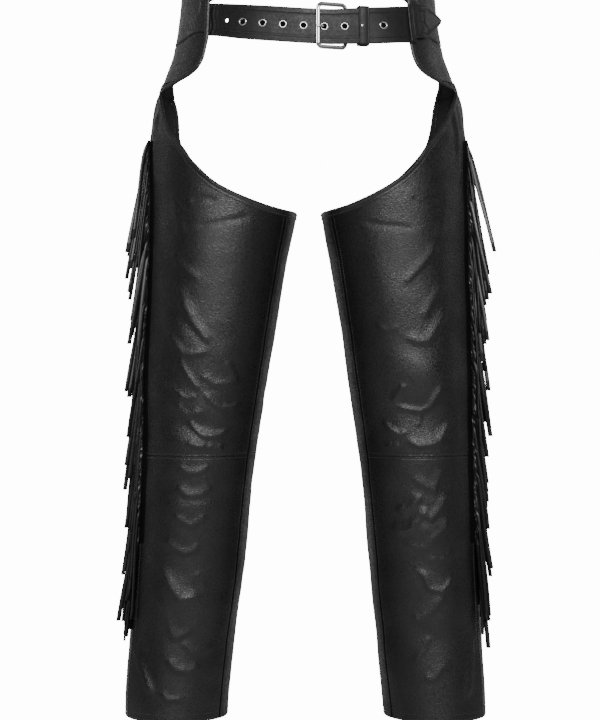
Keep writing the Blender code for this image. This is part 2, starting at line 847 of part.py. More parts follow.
def fringe(side, label):
    """Narrow backing strip along the outer seam with strands fused to it."""
    pitch = (FRINGE_TOP - FRINGE_BOTTOM) / FRINGE_BANDS
    margin = 1.0
    width = LANES * LANE_PITCH + 2 * margin
    base = WALL / 2 + 0.55
    points = []
    faces = []
    lines = []
    for band in range(FRINGE_BANDS + 1):
        height = FRINGE_TOP - band * pitch
        row = []
        for across, lift in ((0.0, base + BACKING), (width, base + BACKING),
                             (width, base), (width / 2, base), (0.0, base)):
            row.append(len(points))
            points.append(strip_spot(side, across, height, lift))
        lines.append(row)
    order = (0, 3, 1, 4, 2)
    for band in range(FRINGE_BANDS):
        top = lines[band]
        low = lines[band + 1]
        high = FRINGE_TOP - band * pitch
        flat = [[Vector((0.0, high, 0)), Vector((width, high, 0)),
                 Vector((width, high - pitch, 0)), Vector((0.0, high - pitch, 0))]]
        ids = [top[0], top[1], low[1], low[0]]
        for lane in range(LANES):
            mid_a = margin + (lane + 0.5) * LANE_PITCH
            mid_h = high - pitch * (order[lane] + 0.5) / LANES
            half = STRAND_WIDTH / 2
            tall = 1.4
            corners = ((mid_a - half, mid_h + tall), (mid_a + half, mid_h + tall),
                       (mid_a + half, mid_h - tall), (mid_a - half, mid_h - tall))
            flat.append([Vector((a, h, 0)) for a, h in corners])
            root = []
            for a, h in corners:
                root.append(len(points))
                points.append(strip_spot(side, a, h, base + BACKING))
            ids += root
            strand(side, band * LANES + lane, mid_h, root, points, faces)
        for tri in tessellate_polygon(flat):
            faces.append(tuple(ids[v] for v in tri))
        for m, n in ((1, 2), (2, 3), (3, 4), (4, 0)):
            faces.append((top[m], top[n], low[n]))
            faces.append((top[m], low[n], low[m]))
    for row in (lines[0], lines[-1]):
        faces.append((row[0], row[1], row[3]))
        faces.append((row[1], row[2], row[3]))
        faces.append((row[0], row[3], row[4]))
    add("fringe_" + label, points, faces, LEATHER, 0.0, 0.55)


def strand(side, number, height, root, points, faces):
    """One four-sided strand: out of the strip, then down along it at a lean."""
    start = (points[root[0]] + points[root[1]] + points[root[2]] + points[root[3]]) / 4
    normal = outward(side, side_seam(height) - 7.0, height)
    normal.z = 0.0
    normal.normalize()
    up = Vector((0.0, 0.0, 1.0))
    middle = LANES * LANE_PITCH / 2
    here = strip_spot(side, middle, height, 0.0)
    down = (strip_spot(side, middle, height - STRAND_LENGTH, 0.0) - here).normalized()
    lean = math.radians(4.2 + 7.0 * ease((height + 330.0) / 190.0))
    length = STRAND_LENGTH * (1.0 + 0.07 * varied(number, side + 2))
    fall = down * math.cos(lean) + normal * math.sin(lean)
    flank = up.cross(normal).normalized()
    c1 = start + normal * 2.2 - up * 1.1
    c2 = start + normal * 3.3 - up * 6.0
    c3 = c2 + fall * (length * 0.45)
    c4 = c2 + fall * (length - 7.0)
    ways = ((normal - up).normalized(), (normal * 0.3 - up).normalized(), fall, fall)
    sign = 1.0 if (points[root[1]] - points[root[0]]).dot(flank) > 0 else -1.0
    rings = [root]
    for centre, way in zip((c1, c2, c3, c4), ways):
        rise = way.cross(flank).normalized()
        ring = []
        for u, v in ((-1, 1), (1, 1), (1, -1), (-1, -1)):
            ring.append(len(points))
            points.append(centre + flank * (u * sign * STRAND_WIDTH / 2)
                          + rise * (v * STRAND_THICK / 2))
        rings.append(ring)
    for a, b in zip(rings[:-1], rings[1:]):
        for m in range(4):
            n = (m + 1) % 4
            faces.append((a[m], a[n], b[n]))
            faces.append((a[m], b[n], b[m]))
    last = rings[-1]
    faces.append((last[0], last[1], last[2]))
    faces.append((last[0], last[2], last[3]))


for side, label in ((-1, "right"), (1, "left")):
    legs(side, label)
    hip_piece(side, label)
    waist_yoke(side, label)
    fringe(side, label)

long_strap()
for number, x in enumerate(EYELET_X):
    lift = read(BELT, 3, x) + STRAP / 2 + 0.35
    disc_ring("eyelet_" + str(number + 1), x, 0.0, lift, EYELET_OUT, EYELET_IN, EYELET_HIGH)
buckle_strap()
buckle_frame()
prong()
loop_keeper()
pointed_tab()
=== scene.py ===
import math
import bpy
import numpy as np
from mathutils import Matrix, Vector


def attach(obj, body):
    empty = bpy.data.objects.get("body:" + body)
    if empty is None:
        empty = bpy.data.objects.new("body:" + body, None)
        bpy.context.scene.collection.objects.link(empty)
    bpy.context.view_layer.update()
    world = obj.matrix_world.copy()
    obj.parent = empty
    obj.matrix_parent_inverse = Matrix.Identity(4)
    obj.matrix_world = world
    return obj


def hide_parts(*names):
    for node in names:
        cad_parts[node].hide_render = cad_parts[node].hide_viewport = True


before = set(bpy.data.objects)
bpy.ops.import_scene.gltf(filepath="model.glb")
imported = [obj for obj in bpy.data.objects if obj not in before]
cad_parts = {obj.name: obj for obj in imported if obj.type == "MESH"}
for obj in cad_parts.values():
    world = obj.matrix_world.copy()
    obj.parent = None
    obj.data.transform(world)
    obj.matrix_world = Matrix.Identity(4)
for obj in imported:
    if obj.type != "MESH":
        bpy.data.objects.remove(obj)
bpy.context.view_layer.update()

# The shape tables are the same as the solids' own, in millimetres.
MM = 0.001
KNEE = -597.0
HEM = -972.5
HIP_SEAM = -82.2
INSEAM = 150.0
HIP_SHARE = 0.64
THICK = 1.7

# Height, middle of the right leg, of the left leg, middle in depth,
# half width, half depth.
LEG = [
    (-976.0, 191.0, 183.0, 8.0, 72.9, 79.0),
    (-952.0, 190.0, 181.2, 9.0, 73.7, 80.0),
    (-865.0, 181.9, 174.6, 11.0, 75.2, 82.0),
    (-808.0, 176.8, 170.9, 11.0, 77.2, 84.0),
    (-692.0, 167.5, 163.3, 6.0, 80.8, 86.0),
    (-599.0, 159.4, 156.7, 0.0, 83.6, 86.0),
    (-520.0, 152.0, 149.9, -3.0, 88.0, 89.0),
    (-419.0, 140.8, 140.7, -4.0, 93.0, 93.0),
    (-318.0, 129.3, 130.3, -3.0, 98.6, 97.0),
    (-250.0, 122.1, 123.2, 0.0, 104.4, 100.0),
    (-160.0, 118.0, 118.0, 2.0, 108.0, 104.0),
]
HIP = [
    (-260.0, 227.0, 112.0),
    (-152.0, 227.0, 119.0),
    (-130.0, 223.8, 121.0),
    (-105.0, 221.4, 122.5),
    (-93.0, 219.0, 123.5),
    (-85.0, 216.4, 124.0),
    (-80.0, 213.5, 124.0),
    (-73.0, 210.8, 123.8),
    (-59.0, 205.6, 123.5),
    (-47.0, 200.8, 123.0),
    (-24.0, 192.8, 122.0),
    (-1.0, 188.4, 121.0),
    (13.0, 186.2, 120.5),
    (42.0, 183.0, 119.0),
    (138.0, 177.0, 116.0),
]
FRONT_EDGE = [
    (-251.6, 16.3, 19.7),
    (-250.8, 28.0, 25.8),
    (-245.5, 55.7, 52.0),
    (-239.0, 76.4, 70.0),
    (-225.5, 109.6, 99.0),
    (-212.0, 133.0, 121.4),
    (-197.0, 150.0, 139.5),
    (-182.0, 164.0, 152.7),
    (-167.0, 173.5, 161.7),
    (-154.0, 183.9, 172.0),
    (-136.0, 194.7, 185.0),
    (-117.0, 202.9, 196.4),
    (-97.0, 207.5, 204.6),
    (-82.0, 211.0, 209.0),
    (-79.0, 208.0, 206.0),
    (-73.0, 191.4, 190.4),
    (-68.0, 181.0, 180.0),
    (-63.0, 169.0, 168.0),
    (-53.0, 155.8, 155.0),
    (-38.0, 147.4, 147.0),
    (-21.0, 143.2, 143.0),
    (-8.0, 140.5, 140.5),
    (44.0, 138.5, 138.5),
]
BACK_EDGE = [
    (-251.6, 16.3, 19.7),
    (-245.0, 35.7, 33.0),
    (-236.6, 62.7, 57.0),
    (-225.5, 92.7, 84.0),
    (-212.0, 119.4, 109.0),
    (-194.0, 143.2, 132.0),
    (-177.0, 161.0, 150.0),
    (-162.0, 175.5, 163.0),
    (-148.8, 185.1, 173.3),
    (-135.0, 189.7, 178.3),
    (-116.0, 190.0, 181.6),
    (-97.0, 191.8, 183.5),
    (-80.0, 195.8, 187.0),
    (-60.0, 197.6, 191.5),
    (-40.0, 190.0, 188.0),
    (-16.0, 178.0, 177.0),
    (10.0, 168.0, 168.0),
    (40.0, 158.0, 158.0),
    (67.0, 148.0, 148.0),
]
YOKE_SEAM = [
    (-30.0, -9.0),
    (-22.5, -9.5),
    (-5.0, -13.0),
    (13.0, -12.0),
    (31.0, -3.0),
    (36.5, -1.0),
    (42.0, -5.0),
    (50.0, -7.0),
]
YOKE_TOP = [
    (-90.0, 138.0),
    (-45.0, 124.0),
    (0.0, 84.0),
    (42.0, 45.0),
    (50.0, 43.0),
]
YOKE_LOW = [
    (-90.0, 80.0),
    (-60.0, 78.0),
    (-45.0, 74.0),
    (-38.0, 67.0),
    (-34.0, 56.0),
    (-30.3, 40.0),
    (-27.0, 20.0),
    (-24.6, 2.0),
    (-22.5, -9.3),
]
BELT = [
    (-160.0, 18.0, 22.6, -3.1),
    (-132.0, 14.5, 22.9, -3.1),
    (-92.0, 8.4, 24.0, -1.6),
    (-45.0, 3.4, 24.3, 0.0),
    (0.0, 0.0, 24.3, 0.0),
    (30.0, -1.0, 24.3, 0.0),
    (62.0, 0.6, 24.8, 0.3),
    (102.0, 3.4, 25.4, 2.3),
    (128.0, 6.4, 25.4, 3.1),
    (160.0, 9.0, 25.4, 3.1),
]
TAB = [
    (47.4, -18.0, 35.3, 6.1),
    (51.0, -11.6, 36.2, 6.1),
    (55.5, -9.8, 36.9, 6.1),
    (60.5, -8.5, 37.2, 4.6),
    (66.0, 0.0, 35.4, 3.1),
    (71.0, 6.2, 33.4, 3.1),
    (76.0, 11.3, 31.0, 3.3),
    (82.0, 18.0, 28.6, 4.6),
    (88.0, 23.9, 26.7, 6.4),
]

# Folds: side, height, angle, tilt, half width, half length, rise, bow.
FOLDS = [
    (-1, -432.0, 70.0, -35.0, 17.0, 42.0, 3.0, 0.0),
    (-1, -545.0, 80.0, -20.0, 16.0, 44.0, -3.2, 0.0),
    (-1, -575.0, 78.0, 6.0, 15.0, 40.0, 3.2, 0.0),
    (-1, -668.0, 88.0, 2.0, 15.0, 40.0, 2.6, 0.0),
    (-1, -785.0, 80.0, -35.0, 17.0, 45.0, 2.8, 0.0),
    (-1, -838.0, 84.0, -28.0, 15.0, 38.0, -2.6, 0.0),
    (-1, -905.0, 42.0, -62.0, 17.0, 55.0, 3.4, 0.0),
    (1, -478.0, 76.0, 24.0, 17.0, 42.0, 2.8, 0.0),
    (1, -532.0, 92.0, 24.0, 15.0, 38.0, -3.0, 0.0),
    (1, -578.0, 70.0, -6.0, 15.0, 40.0, 3.0, 0.0),
    (1, -700.0, 86.0, -4.0, 16.0, 42.0, 2.6, 0.0),
    (1, -790.0, 70.0, 30.0, 17.0, 42.0, 2.6, 0.0),
    (1, -850.0, 92.0, 20.0, 15.0, 36.0, -2.4, 0.0),
    (-1, -560.0, -90.0, 14.0, 17.0, 60.0, 3.4, 0.0),
    (-1, -610.0, -80.0, -10.0, 16.0, 56.0, -3.2, 0.0),
    (1, -570.0, -86.0, -14.0, 17.0, 60.0, 3.2, 0.0),
    (1, -622.0, -96.0, 10.0, 16.0, 52.0, -3.0, 0.0),
    (-1, -800.0, -96.0, 18.0, 18.0, 55.0, 2.6, 0.0),
    (1, -820.0, -88.0, -18.0, 18.0, 55.0, 2.6, 0.0),
]
# The same for smaller folds at the back.
FINE = [
    (-1, -540.0, -70.0, 24.0, 6.0, 34.0, 1.6, 0.005),
    (-1, -572.0, -104.0, -10.0, 5.0, 32.0, 1.7, 0.005),
    (-1, -596.0, -84.0, 6.0, 5.0, 36.0, 1.8, -0.004),
    (-1, -640.0, -96.0, -16.0, 6.0, 30.0, 1.4, 0.005),
    (1, -536.0, -98.0, -22.0, 6.0, 34.0, 1.6, 0.005),
    (1, -580.0, -76.0, 12.0, 5.0, 32.0, 1.8, 0.005),
    (1, -604.0, -98.0, -4.0, 5.0, 36.0, 1.6, -0.004),
    (1, -650.0, -84.0, 14.0, 6.0, 30.0, 1.4, 0.005),
    (-1, -760.0, -80.0, 20.0, 7.0, 34.0, 1.5, 0.003),
    (1, -740.0, -100.0, -20.0, 7.0, 34.0, 1.5, 0.003),
    (-1, -360.0, -70.0, 30.0, 9.0, 46.0, 1.5, 0.002),
    (1, -380.0, -96.0, -30.0, 9.0, 46.0, 1.5, 0.002),
]
# Creases placed on the front: side, rise, width above, width below, line.
CREASES = [
    (-1, 2.6, 6.0, 2.5, ((-199, -422), (-187, -437), (-175, -454), (-159, -455), (-142, -450))),
    (-1, 2.4, 7.5, 3.0, ((-183, -378), (-161, -410), (-138, -439))),
    (-1, 1.8, 4.0, 2.5, ((-178, -457), (-177, -468), (-167, -486), (-153, -505))),
    (-1, 1.7, 6.0, 2.5, ((-149, -484), (-132, -496), (-102, -496))),
    (-1, 1.1, 4.0, 3.0, ((-116, -463), (-106, -480), (-101, -496))),
    (-1, 2.0, 4.0, 2.2, ((-146, -508), (-134, -523), (-122, -530), (-106, -528), (-95, -520))),
    (-1, 2.4, 6.0, 2.5, ((-186, -522), (-179, -533), (-169, -541), (-148, -535))),
    (-1, 2.2, 4.5, 2.2,
     ((-169, -545), (-161, -557), (-151, -565), (-142, -569), (-126, -567), (-112, -560))),
    (-1, 2.0, 5.0, 2.0, ((-170, -577), (-157, -583), (-145, -585))),
    (-1, 2.0, 5.0, 2.0, ((-142, -582), (-132, -586), (-120, -585))),
    (-1, 1.8, 6.0, 2.5, ((-183, -612), (-167, -621), (-151, -619), (-139, -610))),
    (-1, 1.2, 4.0, 2.2, ((-183, -514), (-171, -516), (-157, -513))),
    (-1, 1.2, 4.0, 3.0, ((-199, -490), (-189, -504), (-173, -514))),
    (-1, 2.1, 6.5, 2.6, ((-190, -680), (-175, -690), (-163, -695), (-151, -687), (-143, -680))),
    (-1, 1.9, 6.0, 2.6, ((-204, -716), (-189, -727), (-175, -734), (-161, -730), (-154, -720))),
    (-1, 2.3, 7.5, 2.6,
     ((-208, -754), (-200, -767), (-193, -783), (-181, -799), (-169, -798), (-151, -793))),
    (-1, 1.9, 7.0, 3.0,
     ((-213, -795), (-202, -814), (-193, -846), (-188, -854), (-171, -846), (-159, -838))),
    (-1, 1.2, 4.0, 3.0, ((-159, -760), (-149, -775), (-148, -785))),
    (-1, 1.4, 7.0, 3.0, ((-179, -858), (-165, -873), (-148, -875), (-135, -866))),
    (-1, 1.6, 4.0, 2.2, ((-207, -930), (-199, -940), (-179, -940))),
    (-1, 3.2, 5.0, 4.0, ((-248, -862), (-238, -887), (-226, -918), (-220, -936))),
    (-1, 1.6, 6.5, 3.5, ((-191, -310), (-179, -331), (-162, -343), (-153, -351))),
    (-1, 1.6, 7.0, 3.5, ((-182, -359), (-172, -382), (-162, -404))),
    (-1, -1.3, 3.5, 3.5, ((-156, -276), (-134, -272), (-109, -267), (-82, -261))),
    (-1, -1.2, 3.5, 3.5, ((-165, -239), (-146, -236), (-127, -239))),
    (-1, 1.3, 6.0, 5.0, ((-189, -226), (-183, -261), (-175, -290))),
    (-1, 1.2, 2.4, 2.4, ((-208, -95), (-215, -120), (-218, -146))),
    (-1, 1.2, 2.4, 2.4, ((-205, -104), (-209, -130), (-213, -157))),
    (-1, 1.0, 2.4, 2.4, ((-202, -116), (-197, -138), (-189, -161))),
    (1, 2.6, 7.5, 3.0, ((136, -430), (154, -437), (167, -435), (181, -415), (194, -388))),
    (1, 1.2, 4.0, 2.5, ((95, -414), (109, -421), (126, -415))),
    (1, 2.2, 5.0, 2.4, ((118, -521), (126, -509), (135, -496))),
    (1, 2.5, 5.0, 2.4,
     ((122, -528), (140, -532), (158, -534), (171, -527), (179, -512), (188, -496))),
    (1, 2.1, 4.0, 2.2, ((105, -548), (116, -560), (128, -567), (137, -561))),
    (1, 1.1, 3.0, 3.0, ((152, -556), (154, -547), (155, -535))),
    (1, 2.5, 5.5, 2.4,
     ((138, -574), (154, -583), (169, -581), (183, -576), (193, -559), (200, -548))),
    (1, 1.7, 4.0, 2.0, ((110, -580), (118, -584), (128, -582))),
    (1, 1.8, 7.5, 3.0, ((145, -627), (160, -637), (176, -645), (183, -627), (191, -614))),
    (1, 2.3, 7.5, 3.0, ((116, -693), (128, -702), (142, -701), (154, -687), (166, -668))),
    (1, 1.7, 6.0, 3.0,
     ((132, -720), (150, -727), (165, -726), (177, -712), (189, -703), (198, -682))),
    (1, 1.3, 5.0, 3.0, ((169, -740), (183, -746), (195, -740), (200, -727))),
    (1, 2.1, 5.0, 2.5,
     ((152, -757), (162, -765), (169, -783), (187, -788), (197, -779), (204, -763))),
    (1, 2.1, 7.5, 3.0, ((144, -824), (158, -829), (171, -818), (185, -801), (190, -791))),
    (1, 1.5, 5.0, 3.0, ((150, -888), (162, -869), (171, -851))),
    (1, 1.4, 6.0, 3.0, ((162, -911), (177, -911), (191, -891))),
    (1, 3.2, 5.0, 4.5, ((224, -940), (229, -893), (230, -842))),
    (1, -1.2, 3.5, 3.5, ((78, -269), (102, -274), (127, -276), (147, -279))),
    (1, 1.5, 7.0, 3.5, ((131, -357), (147, -341), (172, -314), (180, -298))),
    (1, 1.5, 7.0, 3.5, ((160, -404), (172, -380), (190, -357))),
    (1, -1.1, 3.5, 3.5, ((143, -236), (160, -239), (180, -237))),
    (1, 1.3, 6.0, 5.0, ((180, -292), (190, -261), (195, -228))),
    (1, 2.6, 8.0, 3.4, ((124, -668), (134, -676), (147, -668), (158, -650))),
    (1, 2.2, 7.0, 3.2, ((158, -676), (171, -684), (184, -672), (196, -650))),
    (-1, 2.0, 7.0, 3.2, ((-186, -640), (-168, -652), (-150, -650), (-136, -640))),
    (-1, 2.0, 7.0, 3.2, ((-200, -884), (-186, -898), (-168, -902), (-152, -894))),
    (1, 1.1, 2.4, 2.4, ((216, -97), (221, -120), (225, -146))),
    (1, 1.1, 2.4, 2.4, ((213, -105), (217, -130), (221, -157))),
    (1, 2.4, 3.2, 3.2, ((202, -100), (211, -141), (213, -180), (214, -212))),
    (1, 1.6, 2.4, 2.4, ((209, -96), (213, -119), (215, -136))),
    (1, -1.2, 3.0, 3.0, ((198, -105), (206, -136), (208, -177))),
    (-1, 2.2, 4.0, 3.4, ((-214, -107), (-217, -139), (-218, -177), (-216, -214))),
    (-1, -1.2, 2.6, 2.6, ((-207, -101), (-210, -128), (-212, -155))),
    (-1, 1.2, 2.4, 2.4, ((-202, -111), (-195, -135), (-187, -152))),
]
FINE_GAIN = 1.9

_curves = {}


def read(table, column, at):
    key = (id(table), column)
    if key not in _curves:
        rows = np.array(table, float)
        x = rows[:, 0]
        y = rows[:, column]
        h = np.diff(x)
        d = np.diff(y) / h
        m = np.zeros(len(x))
        m[0] = d[0]
        m[-1] = d[-1]
        for i in range(1, len(x) - 1):
            if d[i - 1] * d[i] > 0:
                m[i] = 2 * d[i - 1] * d[i] / (d[i - 1] + d[i])
        _curves[key] = (x, y, h, m)
    x, y, h, m = _curves[key]
    at = np.clip(np.asarray(at, float), x[0], x[-1])
    k = np.clip(np.searchsorted(x, at, side="right") - 1, 0, len(x) - 2)
    t = (at - x[k]) / h[k]
    a = y[k] * (2 * t ** 3 - 3 * t ** 2 + 1)
    b = y[k + 1] * (3 * t ** 2 - 2 * t ** 3)
    c = h[k] * m[k] * (t ** 3 - 2 * t ** 2 + t)
    e = h[k] * m[k + 1] * (t ** 3 - t ** 2)
    return a + b + c + e


def ease(t):
    t = np.clip(t, 0.0, 1.0)
    return t * t * (3.0 - 2.0 * t)


def side_seam(z):
    return 14.0 + 15.0 * ease((-250.0 - np.asarray(z, float)) / 450.0)


def plain(side, angle, z):
    angle = np.where(np.asarray(angle) > 185.0, angle - 360.0, angle)
    column = 1 if side < 0 else 2
    turn = np.radians(angle)
    leg_x = read(LEG, column, z) + read(LEG, 4, z) * np.cos(turn)
    leg_y = read(LEG, 3, z) - read(LEG, 5, z) * np.sin(turn)
    share = ease((z + 250.0) / 168.0)
    hip_turn = np.radians(angle * HIP_SHARE)
    hip_x = read(HIP, 1, z) * np.cos(hip_turn)
    hip_y = -read(HIP, 2, z) * np.sin(hip_turn)
    x = leg_x * (1.0 - share) + hip_x * share
    y = leg_y * (1.0 - share) + hip_y * share
    return np.stack([side * x, y, z + 0.0 * x], axis=-1)


def outward(side, angle, z):
    a = plain(side, angle + 0.5, z) - plain(side, angle - 0.5, z)
    b = plain(side, angle, z + 1.0) - plain(side, angle, z - 1.0)
    n = np.cross(a, b) * (-side)
    return n / np.linalg.norm(n, axis=-1, keepdims=True)


def bells(side, angle, z, rows):
    rise = np.zeros(np.broadcast(angle, z).shape)
    for row in rows:
        if row[0] != side:
            continue
        turn = (angle - row[2] + 180.0) % 360.0 - 180.0
        across = np.radians(turn) * 88.0
        up = z - row[1]
        tilt = math.radians(row[3])
        along = across * math.cos(tilt) + up * math.sin(tilt)
        over = up * math.cos(tilt) - across * math.sin(tilt) - row[7] * along ** 2
        wide = np.where(over > 0, row[4], row[4] * 2.0)
        rise = rise + row[6] * np.exp(-(over / wide) ** 2 - (along / row[5]) ** 2)
    return rise


def creases(side, x, z):
    """Ridges along CREASES, softer above their line than below it."""
    rise = np.zeros(np.broadcast(x, z).shape)
    for row_side, high, above, below, line in CREASES:
        if row_side != side:
            continue
        line = np.array(line, float)
        steps = np.linalg.norm(np.diff(line, axis=0), axis=1)
        total = steps.sum()
        near = np.full(rise.shape, 1e9)
        signed = np.zeros(rise.shape)
        share = np.zeros(rise.shape)
        run = 0.0
        for a, b, step in zip(line[:-1], line[1:], steps):
            way = (b - a) / step
            t = np.clip((x - a[0]) * way[0] + (z - a[1]) * way[1], 0.0, step)
            dx = x - a[0] - way[0] * t
            dz = z - a[1] - way[1] * t
            far = np.hypot(dx, dz)
            closer = far < near
            near = np.where(closer, far, near)
            signed = np.where(closer, way[0] * dz - way[1] * dx, signed)
            share = np.where(closer, (run + t) / total, share)
            run += step
        wide = 1.3 * below + (1.12 * above - 1.3 * below) * ease(signed / 4.0 + 0.5)
        taper = ease(np.minimum(share, 1.0 - share) * 5.0 + 0.25)
        rise = rise + high * taper * np.exp(-(near / wide) ** 2)
    return rise


def waves(x, y, z, seed, size, count=9):
    """Smooth uneven swells from a fixed seed."""
    rng = np.random.default_rng(seed)
    out = np.zeros(np.broadcast(x, y, z).shape)
    for _ in range(count):
        way = rng.normal(size=3)
        way /= np.linalg.norm(way)
        length = size * rng.uniform(0.7, 1.6)
        shift = rng.uniform(0, 2 * math.pi)
        along = x * way[0] + y * way[1] + z * way[2]
        out = out + np.sin(along * 2 * math.pi / length + shift)
    return out / count


def swell(side, angle, z, seed):
    """All soft relief of the leather on one leg, in mm."""
    turn = np.radians(angle)
    x = 88.0 * np.cos(turn)
    y = 88.0 * np.sin(turn)
    rise = bells(side, angle, z, FOLDS)
    fringed = ease((-125.0 - z) / 30.0)
    calm = 1.0 - 0.75 * fringed * np.exp(-((angle - side_seam(z)) / 10.0) ** 2)
    rise = rise + FINE_GAIN * bells(side, angle, z, FINE) * calm
    facing = 0.88 * ease(np.sin(turn) * 5.0 - 0.6)
    rise = rise + creases(side, plain(side, angle, z)[..., 0], z) * facing * calm
    rise = rise + 1.8 * waves(x, y, z * 0.8, seed, 110.0)
    near = np.exp(-((z + 570.0) / 80.0) ** 2) + 0.6 * np.exp(-((z + 790.0) / 90.0) ** 2)
    rise = rise + (0.35 + 0.9 * near) * waves(x * 0.45, y * 0.45, z, seed + 5, 34.0) * calm
    return rise


def skin(side, angle, z, lift, seed=3):
    rise = swell(side, angle, z, seed)
    return plain(side, angle, z) + outward(side, angle, z) * (lift + rise)[..., None]


def edge_angle(side, z, reach, front):
    low = np.zeros_like(z)
    high = np.full_like(z, 181.0)
    way = 1.0 if front else -1.0
    for _ in range(40):
        mid = (low + high) / 2
        x = plain(side, way * mid, z)[..., 0] * side
        low = np.where(x > reach, mid, low)
        high = np.where(x > reach, high, mid)
    return way * low


def edge_line(side, table, front, low, high, count=161):
    column = 1 if side < 0 else 2
    z = np.linspace(low, high, count)
    angle = edge_angle(side, z, read(table, column, z), front)
    order = np.argsort(angle, kind="stable")
    return angle[order], z[order]


def link(obj, body="root"):
    bpy.context.scene.collection.objects.link(obj)
    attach(obj, body)
    return obj


def build(name, points, faces, material, smooth=True):
    mesh = bpy.data.meshes.new(name)
    mesh.from_pydata((np.asarray(points) * MM).tolist(), [], faces)
    mesh.update()
    if smooth:
        mesh.polygons.foreach_set("use_smooth", [True] * len(mesh.polygons))
    obj = bpy.data.objects.new(name, mesh)
    mesh.materials.append(material)
    link(obj)
    fix_normals(obj)
    return obj


def fix_normals(obj):
    import bmesh
    form = bmesh.new()
    form.from_mesh(obj.data)
    bmesh.ops.recalc_face_normals(form, faces=form.faces)
    if form.calc_volume(signed=True) < 0:
        bmesh.ops.reverse_faces(form, faces=form.faces)
    form.to_mesh(obj.data)
    form.free()


def shell(outer, inner, hole=None):
    """Closed sheet between two grids of shape rows x columns x 3."""
    rows, columns, _ = outer.shape
    points = np.concatenate([outer.reshape(-1, 3), inner.reshape(-1, 3)])
    back = rows * columns
    faces = []
    rim = {}
    for i in range(rows - 1):
        for j in range(columns - 1):
            if hole is not None and hole[i, j]:
                continue
            a = i * columns + j
            quad = (a, a + 1, a + columns + 1, a + columns)
            faces.append(quad)
            faces.append(tuple(back + v for v in reversed(quad)))
            if hole is not None:
                for k in range(4):
                    p, q = quad[k], quad[(k + 1) % 4]
                    key = (min(p, q), max(p, q))
                    rim[key] = None if key in rim else (p, q)
    if hole is None:
        loop = [j for j in range(columns)]
        loop += [i * columns + columns - 1 for i in range(1, rows)]
        loop += [(rows - 1) * columns + j for j in range(columns - 2, -1, -1)]
        loop += [i * columns for i in range(rows - 2, 0, -1)]
        for k, p in enumerate(loop):
            q = loop[(k + 1) % len(loop)]
            faces.append((q, p, back + p, back + q))
    else:
        for pair in rim.values():
            if pair:
                p, q = pair
                faces.append((q, p, back + p, back + q))
    return points, faces


BORDER = np.array([0.0, 0.7, 1.4, 2.1, 2.8, 3.5, 4.2])


def spaced(length, step):
    """Distances from one border to the other, close together near both."""
    count = max(4, int((length - 10.0) / step))
    middle = np.linspace(5.0, length - 5.0, count)
    return np.concatenate([BORDER, middle, length - BORDER[::-1]])


def roll(distance):
    """Drop of the surface near a cut or turned edge, in mm."""
    return 0.75 * np.clip(1.0 - distance / 2.4, 0.0, 1.0) ** 2


